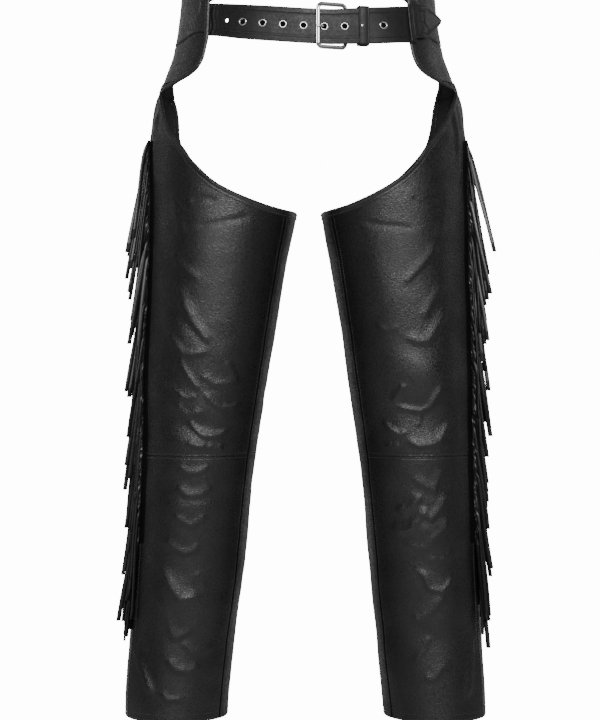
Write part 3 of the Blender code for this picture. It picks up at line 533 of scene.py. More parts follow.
# Materials.
def leather(name, tone, rough, grain=620.0, fine=0.55, crumple=0.5, wrinkle=0.35, suede=False):
    """Pebbled black leather; tone is its base colour, grain the pebbles a metre."""
    made = bpy.data.materials.new(name)
    made.use_nodes = True
    nodes = made.node_tree.nodes
    links = made.node_tree.links
    shader = nodes["Principled BSDF"]
    where = nodes.new("ShaderNodeTexCoord")

    def noise(scale, detail, roughness=0.55):
        node = nodes.new("ShaderNodeTexNoise")
        node.inputs["Scale"].default_value = scale
        node.inputs["Detail"].default_value = detail
        node.inputs["Roughness"].default_value = roughness
        links.new(where.outputs["Object"], node.inputs["Vector"])
        return node

    def bump(height, strength, distance, before=None):
        node = nodes.new("ShaderNodeBump")
        node.inputs["Strength"].default_value = strength
        node.inputs["Distance"].default_value = distance
        links.new(height, node.inputs["Height"])
        if before:
            links.new(before.outputs["Normal"], node.inputs["Normal"])
        return node

    def scaled(value, low, high, start=0.35, end=0.68):
        node = nodes.new("ShaderNodeMapRange")
        node.inputs["From Min"].default_value = start
        node.inputs["From Max"].default_value = end
        node.inputs["To Min"].default_value = low
        node.inputs["To Max"].default_value = high
        links.new(value, node.inputs["Value"])
        return node

    pebble = nodes.new("ShaderNodeTexVoronoi")
    pebble.feature = "SMOOTH_F1"
    pebble.inputs["Scale"].default_value = grain
    pebble.inputs["Smoothness"].default_value = 0.3
    bend = nodes.new("ShaderNodeVectorMath")
    bend.operation = "MULTIPLY_ADD"
    bend.inputs[1].default_value = (0.0016, 0.0016, 0.0016)
    links.new(noise(grain * 0.4, 1.0).outputs["Color"], bend.inputs[0])
    links.new(where.outputs["Object"], bend.inputs[2])
    links.new(bend.outputs[0], pebble.inputs["Vector"])
    crumpled = noise(170.0, 4.0, 0.6)
    wrinkled = noise(46.0, 5.0, 0.6)
    cloud = noise(13.0, 4.0, 0.62)
    speck = noise(330.0, 3.0, 0.7)

    mix = nodes.new("ShaderNodeMix")
    mix.data_type = "RGBA"
    mix.inputs["A"].default_value = (tone * 0.6, tone * 0.6, tone * 0.64, 1.0)
    mix.inputs["B"].default_value = (tone * 1.5, tone * 1.5, tone * 1.56, 1.0)
    links.new(scaled(cloud.outputs["Fac"], 0.0, 1.0).outputs["Result"], mix.inputs["Factor"])
    links.new(mix.outputs["Result"], shader.inputs["Base Color"])
    gloss = nodes.new("ShaderNodeMath")
    gloss.operation = "ADD"
    spread = 0.05 if suede else min(0.16, 0.5 * fine)
    links.new(scaled(speck.outputs["Fac"], rough - spread, rough + spread).outputs["Result"],
              gloss.inputs[0])
    links.new(scaled(cloud.outputs["Fac"], 0.09, -0.07).outputs["Result"], gloss.inputs[1])
    links.new(gloss.outputs[0], shader.inputs["Roughness"])
    first = bump(wrinkled.outputs["Fac"], wrinkle, 0.006)
    second = bump(crumpled.outputs["Fac"], crumple, 0.0017, first)
    last = bump(pebble.outputs["Distance"], fine, 0.0008, second)
    links.new(last.outputs["Normal"], shader.inputs["Normal"])
    shader.inputs["Specular IOR Level"].default_value = 0.12 if suede else 0.42
    return made


def metal(name, tone, rough):
    made = bpy.data.materials.new(name)
    made.use_nodes = True
    tree = made.node_tree
    shader = tree.nodes["Principled BSDF"]
    shader.inputs["Base Color"].default_value = (tone, tone, tone * 1.02, 1.0)
    shader.inputs["Metallic"].default_value = 1.0
    where = tree.nodes.new("ShaderNodeTexCoord")
    node = tree.nodes.new("ShaderNodeTexNoise")
    node.inputs["Scale"].default_value = 300.0
    node.inputs["Detail"].default_value = 4.0
    tree.links.new(where.outputs["Object"], node.inputs["Vector"])
    scale = tree.nodes.new("ShaderNodeMath")
    scale.operation = "MULTIPLY_ADD"
    scale.inputs[1].default_value = 0.16
    scale.inputs[2].default_value = rough - 0.08
    tree.links.new(node.outputs["Fac"], scale.inputs[0])
    tree.links.new(scale.outputs[0], shader.inputs["Roughness"])
    return made


LEG_HIDE = leather("leg_leather", 0.0075, 0.37, 620.0, 0.42, 0.10, 0.08)
YOKE_HIDE = leather("yoke_leather", 0.0075, 0.36, 700.0, 0.4, 0.07, 0.05)
# The same black leather made about twice as light, for the bound edges and hip folds: painted
# highlight along them.
BAND_PAINTED_HIGHLIGHT = leather("band_painted_highlight", 0.014, 0.28, 800.0, 0.3, 0.1, 0.05)
BELT_HIDE = leather("belt_leather", 0.006, 0.45, 900.0, 0.22, 0.07, 0.04)
FRINGE_HIDE = leather("fringe_leather", 0.008, 0.3, 900.0, 0.07, 0.0, 0.0)
FLESH_SIDE = leather("flesh_side", 0.024, 0.85, 1400.0, 0.6, 0.35, 0.1, True)
# Near-black dull leather used only as painted shade: the strip beside the fringe, the inseam's
# groove and the eyelets' floors.
PAINTED_SHADE_HIDE = leather("painted_shade_leather", 0.002, 0.9, 1400.0, 0.5, 0.3, 0.0, True)
# Thread made lighter than the black leather: painted highlight on the stitches.
PAINTED_HIGHLIGHT_THREAD = leather("stitch_painted_highlight", 0.05, 0.42, 2500.0, 0.4, 0.0, 0.0)
CHROME = metal("chrome", 0.66, 0.16)


def two_sided(obj, faces):
    """Gives the inner face of a shell the leather's flesh side."""
    obj.data.materials.append(FLESH_SIDE)
    index = np.zeros(len(obj.data.polygons), int)
    index[1:faces:2] = 1
    obj.data.polygons.foreach_set("material_index", index.tolist())


def panel(name, outer, inner, hide, cad):
    points, faces = shell(outer, inner)
    obj = build(name, points, faces, hide, True)
    two_sided(obj, 2 * (outer.shape[0] - 1) * (outer.shape[1] - 1))
    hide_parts(cad)
    return obj


def leg_panel(label, part, side, start, stop, top_line, low, seed, step):
    """start and stop are functions of height, top_line of the share across."""
    width = float(np.radians(abs(stop(-400.0) - start(-400.0))) * 90.0)
    across = spaced(width, step) / width
    tops = top_line(across)
    share = spaced(float((tops - low).mean()), step) / float((tops - low).mean())
    z = low + (tops - low)[None, :] * share[:, None]
    first = start(z)
    last = stop(z)
    angle = first + (last - first) * across[None, :]
    trim = np.degrees(0.15 / 90.0) * (1 - 2 * across[None, :])
    angle = angle + trim * np.sign(last - first)
    border = np.minimum(across, 1 - across)[None, :] * width
    knee = z - low
    end = tops[None, :] - z
    if low < KNEE - 100.0:
        knee, end = end, knee
    drop = np.maximum(roll(border), np.maximum(roll(end), 0.25 * roll(knee * 2.0)))
    drop = drop + 0.4 * np.exp(-((np.minimum(border, knee) - 2.9) / 0.75) ** 2)
    outer = skin(side, angle, z, THICK / 2 - drop, seed)
    inner = skin(side, angle, z, -THICK / 2 + 0.3 * drop, seed)
    return panel("hide_" + part + "_" + label, outer, inner, LEG_HIDE,
                 part + "_" + label)


def level(value):
    return lambda z: np.zeros_like(np.asarray(z, float)) + value


def leg(side, label, seed):
    front = edge_line(side, FRONT_EDGE, True, -251.6, HIP_SEAM)
    back = edge_line(side, BACK_EDGE, False, -251.6, HIP_SEAM)
    top_side = HIP_SEAM + 0.6
    start = 14.0

    def front_top(s):
        angle = start + (INSEAM - start) * s
        z = np.interp(angle, front[0], front[1])
        return np.minimum(top_side, np.where(angle <= front[0][0], top_side, z))

    def back_top(s):
        angle = start + (INSEAM - 360.0 - start) * (1.0 - s)
        z = np.interp(angle, back[0], back[1])
        inner = np.minimum(np.interp(angle + 360.0, front[0], front[1]), -250.6)
        z = np.where(angle <= -180.0, inner, z)
        return np.minimum(top_side, np.where(angle >= back[0][-1], top_side, z))

    low = KNEE + 0.15
    knee = lambda s: np.full_like(s, KNEE - 0.15)
    leg_panel(label, "front_thigh", side, side_seam, level(INSEAM), front_top, low, seed,
              2.3)
    leg_panel(label, "back_thigh", side, level(INSEAM - 360.0), side_seam, back_top, low,
              seed, 3.0)
    leg_panel(label, "front_shin", side, side_seam, level(INSEAM), knee, HEM, seed,
              2.3)
    leg_panel(label, "back_calf", side, level(INSEAM - 360.0), side_seam, knee, HEM, seed,
              3.0)
    return front, back


def inset_line(side, angle, z, distance, down):
    """A line on the surface at a distance from an edge, below it or beside it."""
    way = np.gradient(plain(side, angle, z), axis=0)
    way /= np.linalg.norm(way, axis=1, keepdims=True) + 1e-9
    into = np.cross(outward(side, angle, z), way)
    p_angle = plain(side, angle + 0.5, z) - plain(side, angle - 0.5, z)
    p_z = (plain(side, angle, z + 1.0) - plain(side, angle, z - 1.0)) / 2.0
    aa = (p_angle * p_angle).sum(1)
    bb = (p_z * p_z).sum(1)
    ab = (p_angle * p_z).sum(1)
    ra = (into * p_angle).sum(1) * distance
    rb = (into * p_z).sum(1) * distance
    det = aa * bb - ab * ab
    da = (ra * bb - rb * ab) / det
    dz = (rb * aa - ra * ab) / det
    wrong = (dz.sum() if down else da.sum()) * np.sign(distance) > 0
    if wrong:
        da = -da
        dz = -dz
    return angle + da, z + dz


def swept(name, rings, hide):
    """Closed band from a ring of points at each step along a line."""
    steps, size, _ = rings.shape
    faces = []
    for i in range(steps - 1):
        for m in range(size):
            n = (m + 1) % size
            faces.append((i * size + m, i * size + n, (i + 1) * size + n, (i + 1) * size + m))
    faces.append(tuple(range(size)))
    faces.append(tuple((steps - 1) * size + m for m in reversed(range(size))))
    return build(name, rings.reshape(-1, 3), faces, hide, True)


def binding(name, side, angle, z, seed, width, cover, down, hide, flip=1):
    """Turned edge that wraps a panel's raw edge; flip is -1 on a back edge."""
    profile = [(width, 0.8), (width - 0.25, 1.55), (width - 0.9, 1.95), (width - 1.8, 1.6),
               (3.5, 1.6), (2.9, 2.2), (2.1, 2.45), (1.3, 2.2), (0.6, 1.5),
               (-0.4, 1.1), (-0.8, 0.2), (-0.4, -1.0),
               (0.8, -1.55), (width * 0.5, -1.65), (width - 0.5, -1.5), (width, -0.8)]
    rings = []
    for distance, lift in profile:
        a, h = inset_line(side, angle, z, flip * distance, down)
        rings.append(cover(side, a, h, lift, seed))
    return swept(name, np.stack(rings, axis=1), hide)


def edge_path(side, front, back):
    """The thigh's whole top edge from the hip's front round to its back."""
    keep = front[0] >= 17.0
    far = back[0] <= 6.0
    angle = np.concatenate([front[0][keep], back[0][far] + 360.0])
    z = np.concatenate([front[1][keep], back[1][far]])
    order = np.argsort(angle)
    angle = angle[order]
    z = z[order]
    pts = plain(side, angle, z)
    at = np.concatenate([[0.0], np.cumsum(np.linalg.norm(np.diff(pts, axis=0), axis=1))])
    keep = np.concatenate([[True], np.diff(at) > 1e-6])
    fine = np.arange(0.0, at[-1], 2.5)
    angle = np.interp(fine, at[keep], angle[keep])
    z = np.interp(fine, at[keep], z[keep])
    for _ in range(8):
        angle[1:-1] = (angle[:-2] + 2 * angle[1:-1] + angle[2:]) / 4
        z[1:-1] = (z[:-2] + 2 * z[1:-1] + z[2:]) / 4
    return angle, z


def yoke_turn(angle, z):
    reach = 140.0 - (z + 6.0) * 0.03
    edge = np.degrees(np.arccos(reach / read(HIP, 1, z)))
    return np.where(angle < 35.0, angle, edge - (42.0 - angle))


def yoke_skin(side, angle, z, lift, seed):
    turn = np.radians(angle * HIP_SHARE)
    x = 190.0 * np.cos(turn)
    y = -120.0 * np.sin(turn)
    rise = 0.9 * waves(x, y, z, seed + 40, 75.0) + 0.5 * waves(x, y, z * 0.7, seed + 41, 24.0)
    share = ease((-52.0 - z) / 24.0)
    rise = rise * (1 - share) + swell(side, angle, z, seed) * share
    return plain(side, angle, z) + outward(side, angle, z) * (lift + rise)[..., None]


def waist_yoke(side, label, seed):
    width = 440.0
    share = spaced(width, 3.0) / width
    angle = -89.94 + (42.0 + 89.94) * share
    top = read(YOKE_TOP, 1, angle)
    low = np.where(angle < -22.5, read(YOKE_LOW, 1, angle), read(YOKE_SEAM, 1, angle) + 0.15)
    rows = spaced(60.0, 2.6) / 60.0
    z = low[None, :] + (top - low)[None, :] * rows[:, None]
    turn = yoke_turn(angle[None, :] + 0 * z, z) / HIP_SHARE
    border = np.minimum(share, 1 - share)[None, :] * width
    ends = np.minimum(rows, 1 - rows)[:, None] * (top - low)[None, :]
    drop = np.maximum(roll(border), roll(ends))
    outer = yoke_skin(side, turn, z, THICK / 2 - drop, seed)
    inner = yoke_skin(side, turn, z, -THICK / 2 + 0.3 * drop, seed)
    return panel("hide_waist_yoke_" + label, outer, inner, YOKE_HIDE,
                 "waist_yoke_" + label)


def hip_piece(side, label, seed):
    column = 1 if side < 0 else 2
    height = np.concatenate([np.linspace(-82.6, -70.0, 14)[:-1], np.linspace(-70.0, -13.2, 22),
                             [-12.6, -12.0, -10.0]])
    front = edge_angle(side, height, read(FRONT_EDGE, column, height), True)
    back = edge_angle(side, height, read(BACK_EDGE, column, height), False)
    front = np.where(height < -80.0, np.maximum(front, 14.0), front)
    width = 150.0
    share = spaced(width, 2.8) / width
    turn = -22.5 + 64.5 * share
    seam = read(YOKE_SEAM, 1, turn) - 0.15
    up = ease((height + 81.3) / 68.1)[:, None]
    z = height[:, None] + up * (seam + 13.2)[None, :]
    angle = back[:, None] + (front - back)[:, None] * share[None, :]
    top = yoke_turn(turn, z[-1]) / HIP_SHARE
    angle = angle * (1 - up ** 4) + top[None, :] * up ** 4
    border = np.minimum(share, 1 - share)[None, :] * width + 0 * z
    rows = np.minimum(height + 82.6, np.abs(height + 13.2))[:, None] + 0 * z
    drop = np.maximum(roll(border), roll(rows))
    lap = 1.0 * ease((-79.5 - z) / 2.5) - 1.9 * ease((height[:, None] + 13.1) / 1.0)
    outer = yoke_skin(side, angle, z, THICK / 2 - drop + lap, seed)
    inner = yoke_skin(side, angle, z, -THICK / 2 + 0.3 * drop + lap, seed)
    return panel("hide_hip_piece_" + label, outer, inner, YOKE_HIDE,
                 "hip_piece_" + label)


def stitches(name, lines, pitch=3.6, length=2.7, width=1.0, high=0.6):
    """Separate raised stitches along lines of points, each with its normals."""
    verts = []
    faces = []
    for line, way_out in lines:
        at = np.concatenate([[0.0], np.cumsum(np.linalg.norm(np.diff(line, axis=0), axis=1))])
        count = int(at[-1] / pitch)
        if count < 1:
            continue
        starts = (np.arange(count) + 0.14) * at[-1] / count
        marks = starts[:, None] + np.array([0.0, 0.5, 1.0])[None, :] * length
        p = np.stack([np.interp(marks, at, line[:, k]) for k in range(3)], -1)
        n = np.stack([np.interp(marks, at, way_out[:, k]) for k in range(3)], -1)
        n /= np.linalg.norm(n, axis=-1, keepdims=True)
        along = p[:, 2] - p[:, 0]
        along /= np.linalg.norm(along, axis=-1, keepdims=True) + 1e-9
        flank = np.cross(along[:, None, :], n)
        for k in range(count):
            base = len(verts)
            for m, (w, h) in enumerate(((0.55, 0.1), (1.0, 1.0), (0.55, 0.1))):
                verts.append(p[k, m] + flank[k, m] * width / 2 * w - n[k, m] * 0.3)
                verts.append(p[k, m] + n[k, m] * high * h)
                verts.append(p[k, m] - flank[k, m] * width / 2 * w - n[k, m] * 0.3)
            for row in (0, 3):
                for m in range(3):
                    o = (m + 1) % 3
                    faces.append((base + row + m, base + row + o, base + row + 3 + o,
                                  base + row + 3 + m))
            faces.append((base, base + 2, base + 1))
            faces.append((base + 6, base + 7, base + 8))
    # The stitches take the lightened thread: painted highlight on them.
    return build(name, np.array(verts), faces, PAINTED_HIGHLIGHT_THREAD, True)


def on_leg(side, angle, z, lift, seed, cover):
    z = np.asarray(z, float)
    angle = np.asarray(angle, float) + 0 * z
    z = z + 0 * angle
    return cover(side, angle, z, lift + 0 * z, seed), outward(side, angle, z)


def leg_seams(side, label, seed, angle, z):
    """Topstitching of one leg and its yokes."""
    top = THICK / 2 + 0.05
    a, h = inset_line(side, angle, z, 7.6, True)
    lines = [on_leg(side, a, h, 1.9, seed, skin)]
    a, h = inset_line(side, angle, z, 1.5, True)
    lines.append(on_leg(side, a, h, 2.0, seed, skin))
    down = np.linspace(-256.0, HEM + 1.0, 300)
    for turn in (INSEAM - 2.4, INSEAM - 360.0 + 2.4, INSEAM - 360.0 + 6.8):
        lines.append(on_leg(side, turn, down, top, seed, skin))
    rounds = np.linspace(INSEAM - 360.0 + 1.0, INSEAM - 1.0, 260)
    for height in (KNEE + 2.9, KNEE - 2.9, HEM + 11.0, HEM + 3.4):
        lines.append(on_leg(side, rounds, height, top, seed, skin))
    down = np.linspace(HIP_SEAM - 3.0, HEM + 1.0, 320)
    lines.append(on_leg(side, side_seam(down) + 2.2, down, top, seed, skin))
    stitches("leg_stitches_" + label, lines)
    lines = []
    turn = np.linspace(-21.0, 40.0, 80)
    for gap in (-3.2, 3.2):
        height = read(YOKE_SEAM, 1, turn) + gap
        lines.append(on_leg(side, yoke_turn(turn, height) / HIP_SHARE, height, top, seed,
                            yoke_skin))
    turn = np.linspace(-88.0, 41.0, 160)
    for height in (read(YOKE_TOP, 1, turn) - 4.5,):
        lines.append(on_leg(side, yoke_turn(turn, height) / HIP_SHARE, height, top, seed,
                            yoke_skin))
    turn = np.linspace(-88.0, -27.0, 90)
    height = read(YOKE_LOW, 1, turn) + 5.0
    lines.append(on_leg(side, turn / HIP_SHARE + 1.5, height, top, seed, yoke_skin))
    turn = np.linspace(-36.0, 14.0, 60)
    height = -77.75 + 8.0 * ease((turn + 6.0) / 22.0)
    lines.append(on_leg(side, turn, height, top, seed, yoke_skin))
    stitches("yoke_stitches_" + label, lines)


def inseam_painted_shade(side, label, seed):
    """Painted shade in the inseam's groove, as a narrow dull near-black strip."""
    z = np.linspace(-250.0, HEM + 1.2, 260)
    rings = []
    for across, lift in ((-1.0, 0.0), (-0.8, 0.6), (0.0, 0.8), (0.8, 0.6), (1.0, 0.0)):
        turn = INSEAM + np.degrees(across / 88.0) + 0 * z
        rings.append(skin(side, turn, z, THICK / 2 + lift - 0.2 + 0 * z, seed))
    swept("inseam_painted_shade_" + label, np.stack(rings, axis=1), PAINTED_SHADE_HIDE)


def hip_folds(side, label, seed):
    """Two raised folds along the hip piece's slanting lower front."""
    column = 1 if side < 0 else 2
    level_at = np.array([-72.0])
    end = edge_angle(side, level_at, read(FRONT_EDGE, column, level_at), True)[0] - 1.5
    turn = np.linspace(-30.0, end, 70)
    for number, gap in enumerate((0.9, 4.8)):
        height = -80.6 + 8.0 * ease((turn + 6.0) / 22.0) + gap
        rings = []
        for up, lift in ((-1.1, 0.2), (-0.8, 1.2), (-0.3, 1.8), (0.3, 1.8), (0.8, 1.2),
                         (1.1, 0.2)):
            rings.append(yoke_skin(side, turn, height + up, THICK / 2 + lift + 0 * turn, seed))
        # The folds use the lightened band leather: painted highlight on them.
        swept("hip_fold_" + label + "_" + str(number + 1), np.stack(rings, axis=1), BAND_PAINTED_HIGHLIGHT)


def back_binding(side, label, seed):
    """Bound back edge of the hip piece."""
    column = 1 if side < 0 else 2
    z = np.linspace(-17.0, -80.5, 70)
    angle = edge_angle(side, z, read(BACK_EDGE, column, z), False)
    for _ in range(3):
        angle[1:-1] = (angle[:-2] + 2 * angle[1:-1] + angle[2:]) / 4
    binding("back_band_" + label, side, angle, z, seed, 6.5, yoke_skin, False, BAND_PAINTED_HIGHLIGHT,
            -1)


def front_binding(side, label, seed):
    """Bound front edge of the yokes and its line of stitches."""
    column = 1 if side < 0 else 2
    z = np.linspace(43.5, -79.0, 110)
    angle = edge_angle(side, z, read(FRONT_EDGE, column, z), True)
    for _ in range(3):
        angle[1:-1] = (angle[:-2] + 2 * angle[1:-1] + angle[2:]) / 4
    binding("front_band_" + label, side, angle, z, seed, 6.5, yoke_skin, False, BAND_PAINTED_HIGHLIGHT)
    lines = []
    for inset in (1.9, 5.2):
        a, h = inset_line(side, angle, z, inset, False)
        lines.append(on_leg(side, a, h, 1.85, seed, yoke_skin))
    stitches("front_stitches_" + label, lines)


FRINGE_TOP = -150.0
FRINGE_BOTTOM = -722.0
FRINGE_COUNT = 104
STRAND_STEPS = 12


def fringe(side, label, seed):
    """Cut strips hanging from the outer seam, each a thin twisted ribbon."""
    rng = np.random.default_rng(seed)
    verts = []
    faces = []
    back = np.array([0.0, 1.0, 0.0])
    for k in range(FRINGE_COUNT):
        share = (k + rng.uniform(-0.3, 0.3)) / FRINGE_COUNT
        z0 = FRINGE_TOP + 1.0 + (FRINGE_BOTTOM - FRINGE_TOP) * share
        seam = float(side_seam(z0))
        spot = lambda turn, height, lift: skin(side, np.array([turn]), np.array([height]),
                                               np.array([lift]), seed)[0]
        n = outward(side, np.array([seam - 1.5]), np.array([z0]))[0]
        n[2] = 0.0
        n /= np.linalg.norm(n)
        p = spot(seam - 1.5, z0, 1.9)
        base = spot(seam - 7.0, z0, 0.0)
        q = spot(float(side_seam(z0 - 150.0)) - 7.0, z0 - 150.0, 0.0)
        down = (q - base) / np.linalg.norm(q - base)
        high = float(ease((z0 + 330.0) / 190.0))
        lean = math.radians(rng.uniform(0.6, 3.6) + 6.2 * high * rng.uniform(0.6, 1.0))
        stray = k % 6 in (1, 2)
        if stray:
            lean += math.radians(rng.uniform(3.4, 5.0) if k % 12 < 6 else rng.uniform(1.8, 3.4))
        length = 150.0 * (1.0 + 0.07 * rng.uniform(-1, 1))
        drift = rng.uniform(-2.0, 22.0)
        clear = rng.uniform(1.5, 6.5)
        sway = rng.uniform(-1.2, 1.2)
        phase = rng.uniform(0, 6.28)
        wide = rng.uniform(4.1, 5.2) * (1.25 if stray else 1.0)
        start_roll = rng.uniform(1.3, 1.9) if stray else rng.uniform(0.65, 2.5)
        twist = rng.uniform(-0.3, 0.3)
        thick = 2.3
        fall = down * math.cos(lean) + n * math.sin(lean)
        rings = []
        for m in range(STRAND_STEPS):
            t = m / (STRAND_STEPS - 1)
            s = t * length
            free = min(1.0, 3 * t)
            out = clear * (1 - math.exp(-s / 9.0)) + 0.8 * math.sin(phase + 5.0 * t) * free
            aside = drift * (1 - math.exp(-s / 40.0)) + sway * math.sin(2 * phase + 4 * t) * free
            centre = p + n * out + fall * s + back * aside
            turn = start_roll + twist * t
            a = back * math.cos(turn) + n * math.sin(turn)
            b = np.cross(fall, a)
            b /= np.linalg.norm(b)
            w = wide
            ring = []
            for u, v in ((-1, -0.6), (-0.8, -1), (0.8, -1), (1, -0.6),
                         (1, 0.6), (0.8, 1), (-0.8, 1), (-1, 0.6)):
                ring.append(len(verts))
                verts.append(centre + a * u * w / 2 + b * v * thick / 2)
            rings.append(ring)
        for r0, r1 in zip(rings[:-1], rings[1:]):
            for m in range(8):
                o = (m + 1) % 8
                faces.append((r0[m], r0[o], r1[o], r1[m]))
        faces.append(tuple(reversed(rings[0])))
        faces.append(tuple(rings[-1]))
    obj = build("cut_fringe_" + label, np.array(verts), faces, FRINGE_HIDE, True)
    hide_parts("fringe_" + label)
    # A flat near-black strip along the fringe's root, in front of the seam: painted shade
    # between the fringe and the leg.
    z = np.linspace(FRINGE_TOP, FRINGE_BOTTOM, 190)
    rings = []
    for across, lift in ((-15.6, 0.4), (-15.2, 0.9), (-10.0, 1.4), (0.0, 1.9), (1.0, 2.1),
                         (4.2, 2.1), (5.0, 1.7), (5.2, 0.5)):
        turn = side_seam(z) - 0.8 - np.degrees(across / 95.0)
        rings.append(skin(side, turn, z, lift + 0 * z, seed))
    swept("fringe_painted_shade_" + label, np.stack(rings, axis=1), PAINTED_SHADE_HIDE)


# Belt.
STRAP = 2.6
PRONG_HOLE_X = 21.5
BARE_HOLE_X = -116.0
EYELET_X = (-91.5, -63.3, -35.2, -7.0, 21.5, 49.3, 102.5)
STITCH_IN = 8.6


def belt_turn(x):
    return np.arcsin(np.clip(np.asarray(x, float) / 187.5, -1.0, 1.0))


def belt_slope(x):
    return ease((np.abs(x) - 66.0) / 50.0)


def belt_point(turn, height, lift, follow=1.0):
    turn, height, lift = np.broadcast_arrays(turn, height, lift)
    wide = read(HIP, 1, height * follow)
    deep = read(HIP, 2, height * follow)
    base = np.stack([wide * np.sin(turn), -deep * np.cos(turn), height], -1)
    normal = np.stack([np.sin(turn) / wide, -np.cos(turn) / deep, 0 * wide], -1)
    normal /= np.linalg.norm(normal, axis=-1, keepdims=True)
    return base + normal * lift[..., None]


def strap_spot(x, up, lift):
    x = np.asarray(x, float)
    return belt_point(belt_turn(x), read(BELT, 1, x) + up, lift + read(BELT, 3, x),
                      belt_slope(x))


def strap_relief(x, up):
    """Raised borders, sunk stitch lines and the gathers at the right yoke."""
    edge = read(BELT, 2, x) - np.abs(up)
    rise = 0.5 * ease((STITCH_IN + 0.6 - edge) / 1.6)
    rise = rise - 0.7 * np.exp(-((edge - STITCH_IN - 0.4) / 0.8) ** 2)
    rise = rise - 0.35 * np.exp(-((edge - 2.6) / 0.8) ** 2)
    for eyelet in EYELET_X:
        away = np.hypot(x - eyelet, up)
        rise = rise - 1.1 * ease((4.9 - away) / 1.6)
    gather = np.exp(-((x + 136.0) / 9.0) ** 2)
    rise = rise + 0.9 * gather * np.sin(x * 1.1 + 2.0 * np.sin(up * 0.16))
    return rise + 0.25 * waves(x, up, 0 * x, 77, 30.0)


def holed_sheet(place, xs, ups, holes, thick, relief):
    """Closed strap over a grid with round holes; place gives points."""
    x, up = np.meshgrid(xs, ups, indexing="ij")
    half = read(BELT, 2, x)
    up = up * half
    near = np.minimum(np.minimum(x - xs[0], xs[-1] - x), half - np.abs(up))
    drop = roll(near)
    front = thick / 2 - drop + relief(x, up)
    outer = place(x, up, front)
    inner = place(x, up, -thick / 2 + 0.3 * drop)
    rows, columns = x.shape
    mask = np.zeros((rows - 1, columns - 1), bool)
    spots = []
    for hx, hu, radius, reach in holes:
        i0 = int(np.argmin(np.abs(xs - hx + reach)))
        i1 = int(np.argmin(np.abs(xs - hx - reach)))
        j0 = int(np.argmin(np.abs(up[i0] - hu + reach)))
        j1 = int(np.argmin(np.abs(up[i0] - hu - reach)))
        mask[i0:i1, j0:j1] = True
        spots.append((hx, hu, radius, i0, i1, j0, j1))
    points, faces = shell(outer, inner, mask)
    points = list(points)
    back = rows * columns
    rim = set()
    for hx, hu, radius, i0, i1, j0, j1 in spots:
        loop = [(i, j0) for i in range(i0, i1)] + [(i1, j) for j in range(j0, j1)]
        loop += [(i, j1) for i in range(i1, i0, -1)] + [(i0, j) for j in range(j1, j0, -1)]
        layers = []
        for lift, shift in ((thick / 2, 0), (-thick / 2, back)):
            before = [shift + i * columns + j for i, j in loop]
            rim.update(before)
            first = before
            for t in (0.4, 0.75, 1.0):
                ring = []
                for i, j in loop:
                    gx = x[i, j] - hx
                    gu = up[i, j] - hu
                    size = math.hypot(gx, gu)
                    px = hx + gx * (1 - t) + gx / size * radius * t
                    pu = hu + gu * (1 - t) + gu / size * radius * t
                    ring.append(len(points))
                    sink = 0.35 * t ** 3 if shift == 0 else 0.0
                    rise = float(relief(np.array(px), np.array(pu))) if shift == 0 else 0.0
                    points.append(place(px, pu, lift + rise - sink))
                for k in range(len(loop)):
                    m = (k + 1) % len(loop)
                    faces.append((before[k], before[m], ring[m], ring[k]))
                before = ring
            layers.append(before)
        for k in range(len(loop)):
            m = (k + 1) % len(loop)
            faces.append((layers[0][k], layers[0][m], layers[1][m], layers[1][k]))
    kept = []
    for face in faces:
        low = [v for v in face if v < back]
        crossing = len(low) == 2 and all(v in rim for v in face) and max(face) < 2 * back
        if not crossing:
            kept.append(face)
    return np.array(points), kept


def long_strap():
    xs = np.concatenate([[-151.0, -150.3, -149.4, -148.2], np.linspace(-146.5, 142.5, 182),
                         [144.2, 145.4, 146.3, 147.0]])
    ups = np.concatenate([[-1.0, -0.97, -0.93, -0.88], np.linspace(-0.81, 0.81, 27),
                          [0.88, 0.93, 0.97, 1.0]])
    holes = ((BARE_HOLE_X, 0.0, 2.7, 6.4), (PRONG_HOLE_X, 0.0, 3.2, 6.4))
    points, faces = holed_sheet(strap_spot, xs, ups, holes, STRAP, strap_relief)
    obj = build("belt_strap", points, faces, BELT_HIDE, True)
    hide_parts("long_strap")
    lines = []
    x = np.linspace(-149.0, 145.0, 200)
    for sign in (-1, 1):
        for inset, lift in ((STITCH_IN + 0.4, 0.75), (2.6, 1.5)):
            up = sign * (read(BELT, 2, x) - inset)
            line = strap_spot(x, up, lift)
            ahead = strap_spot(x, up, lift + 1.0)
            lines.append((line, ahead - line))
    stitches("belt_stitches", lines, pitch=3.4, length=2.4, width=0.7)


def turned(name, x, up, lift, profile, count, hide, cad):
    """Round piece on the strap from a profile of radius and rise."""
    points = []
    faces = []
    size = len(profile)
    for k in range(count):
        turn = 2 * math.pi * k / count
        for radius, rise in profile:
            dx = radius * math.cos(turn)
            dz = radius * math.sin(turn)
            points.append(belt_point(belt_turn(x + dx), float(read(BELT, 1, x)) + up + dz,
                                     lift + rise, float(belt_slope(x))))
    for k in range(count):
        a = k * size
        b = ((k + 1) % count) * size
        for m in range(size):
            n = (m + 1) % size
            faces.append((a + m, b + m, b + n, a + n))
    obj = build(name, np.array(points), faces, hide, True)
    if cad:
        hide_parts(cad)


def eyelets():
    profile = [(5.6, -0.6), (5.6, 0.25), (5.35, 0.7), (4.95, 1.0), (4.45, 1.12), (4.0, 1.0),
               (3.6, 0.65), (3.35, 0.1), (3.25, -0.6)]
    for number, x in enumerate(EYELET_X):
        lift = float(read(BELT, 3, x)) + STRAP / 2 + 0.35
        turned("fine_eyelet_" + str(number + 1), x, 0.0, lift, profile, 40, CHROME,
               "eyelet_" + str(number + 1))
        # A near-black disc sunk inside each eyelet: painted shade at the floor of the hole.
        deep = -3.4 if x == PRONG_HOLE_X else -0.75
        bed = [(0.05, deep), (3.6, deep), (3.6, deep + 0.3), (0.05, deep + 0.3)]
        turned("eyelet_painted_shade_" + str(number + 1), x, 0.0, lift, bed, 24, PAINTED_SHADE_HIDE,
               None)


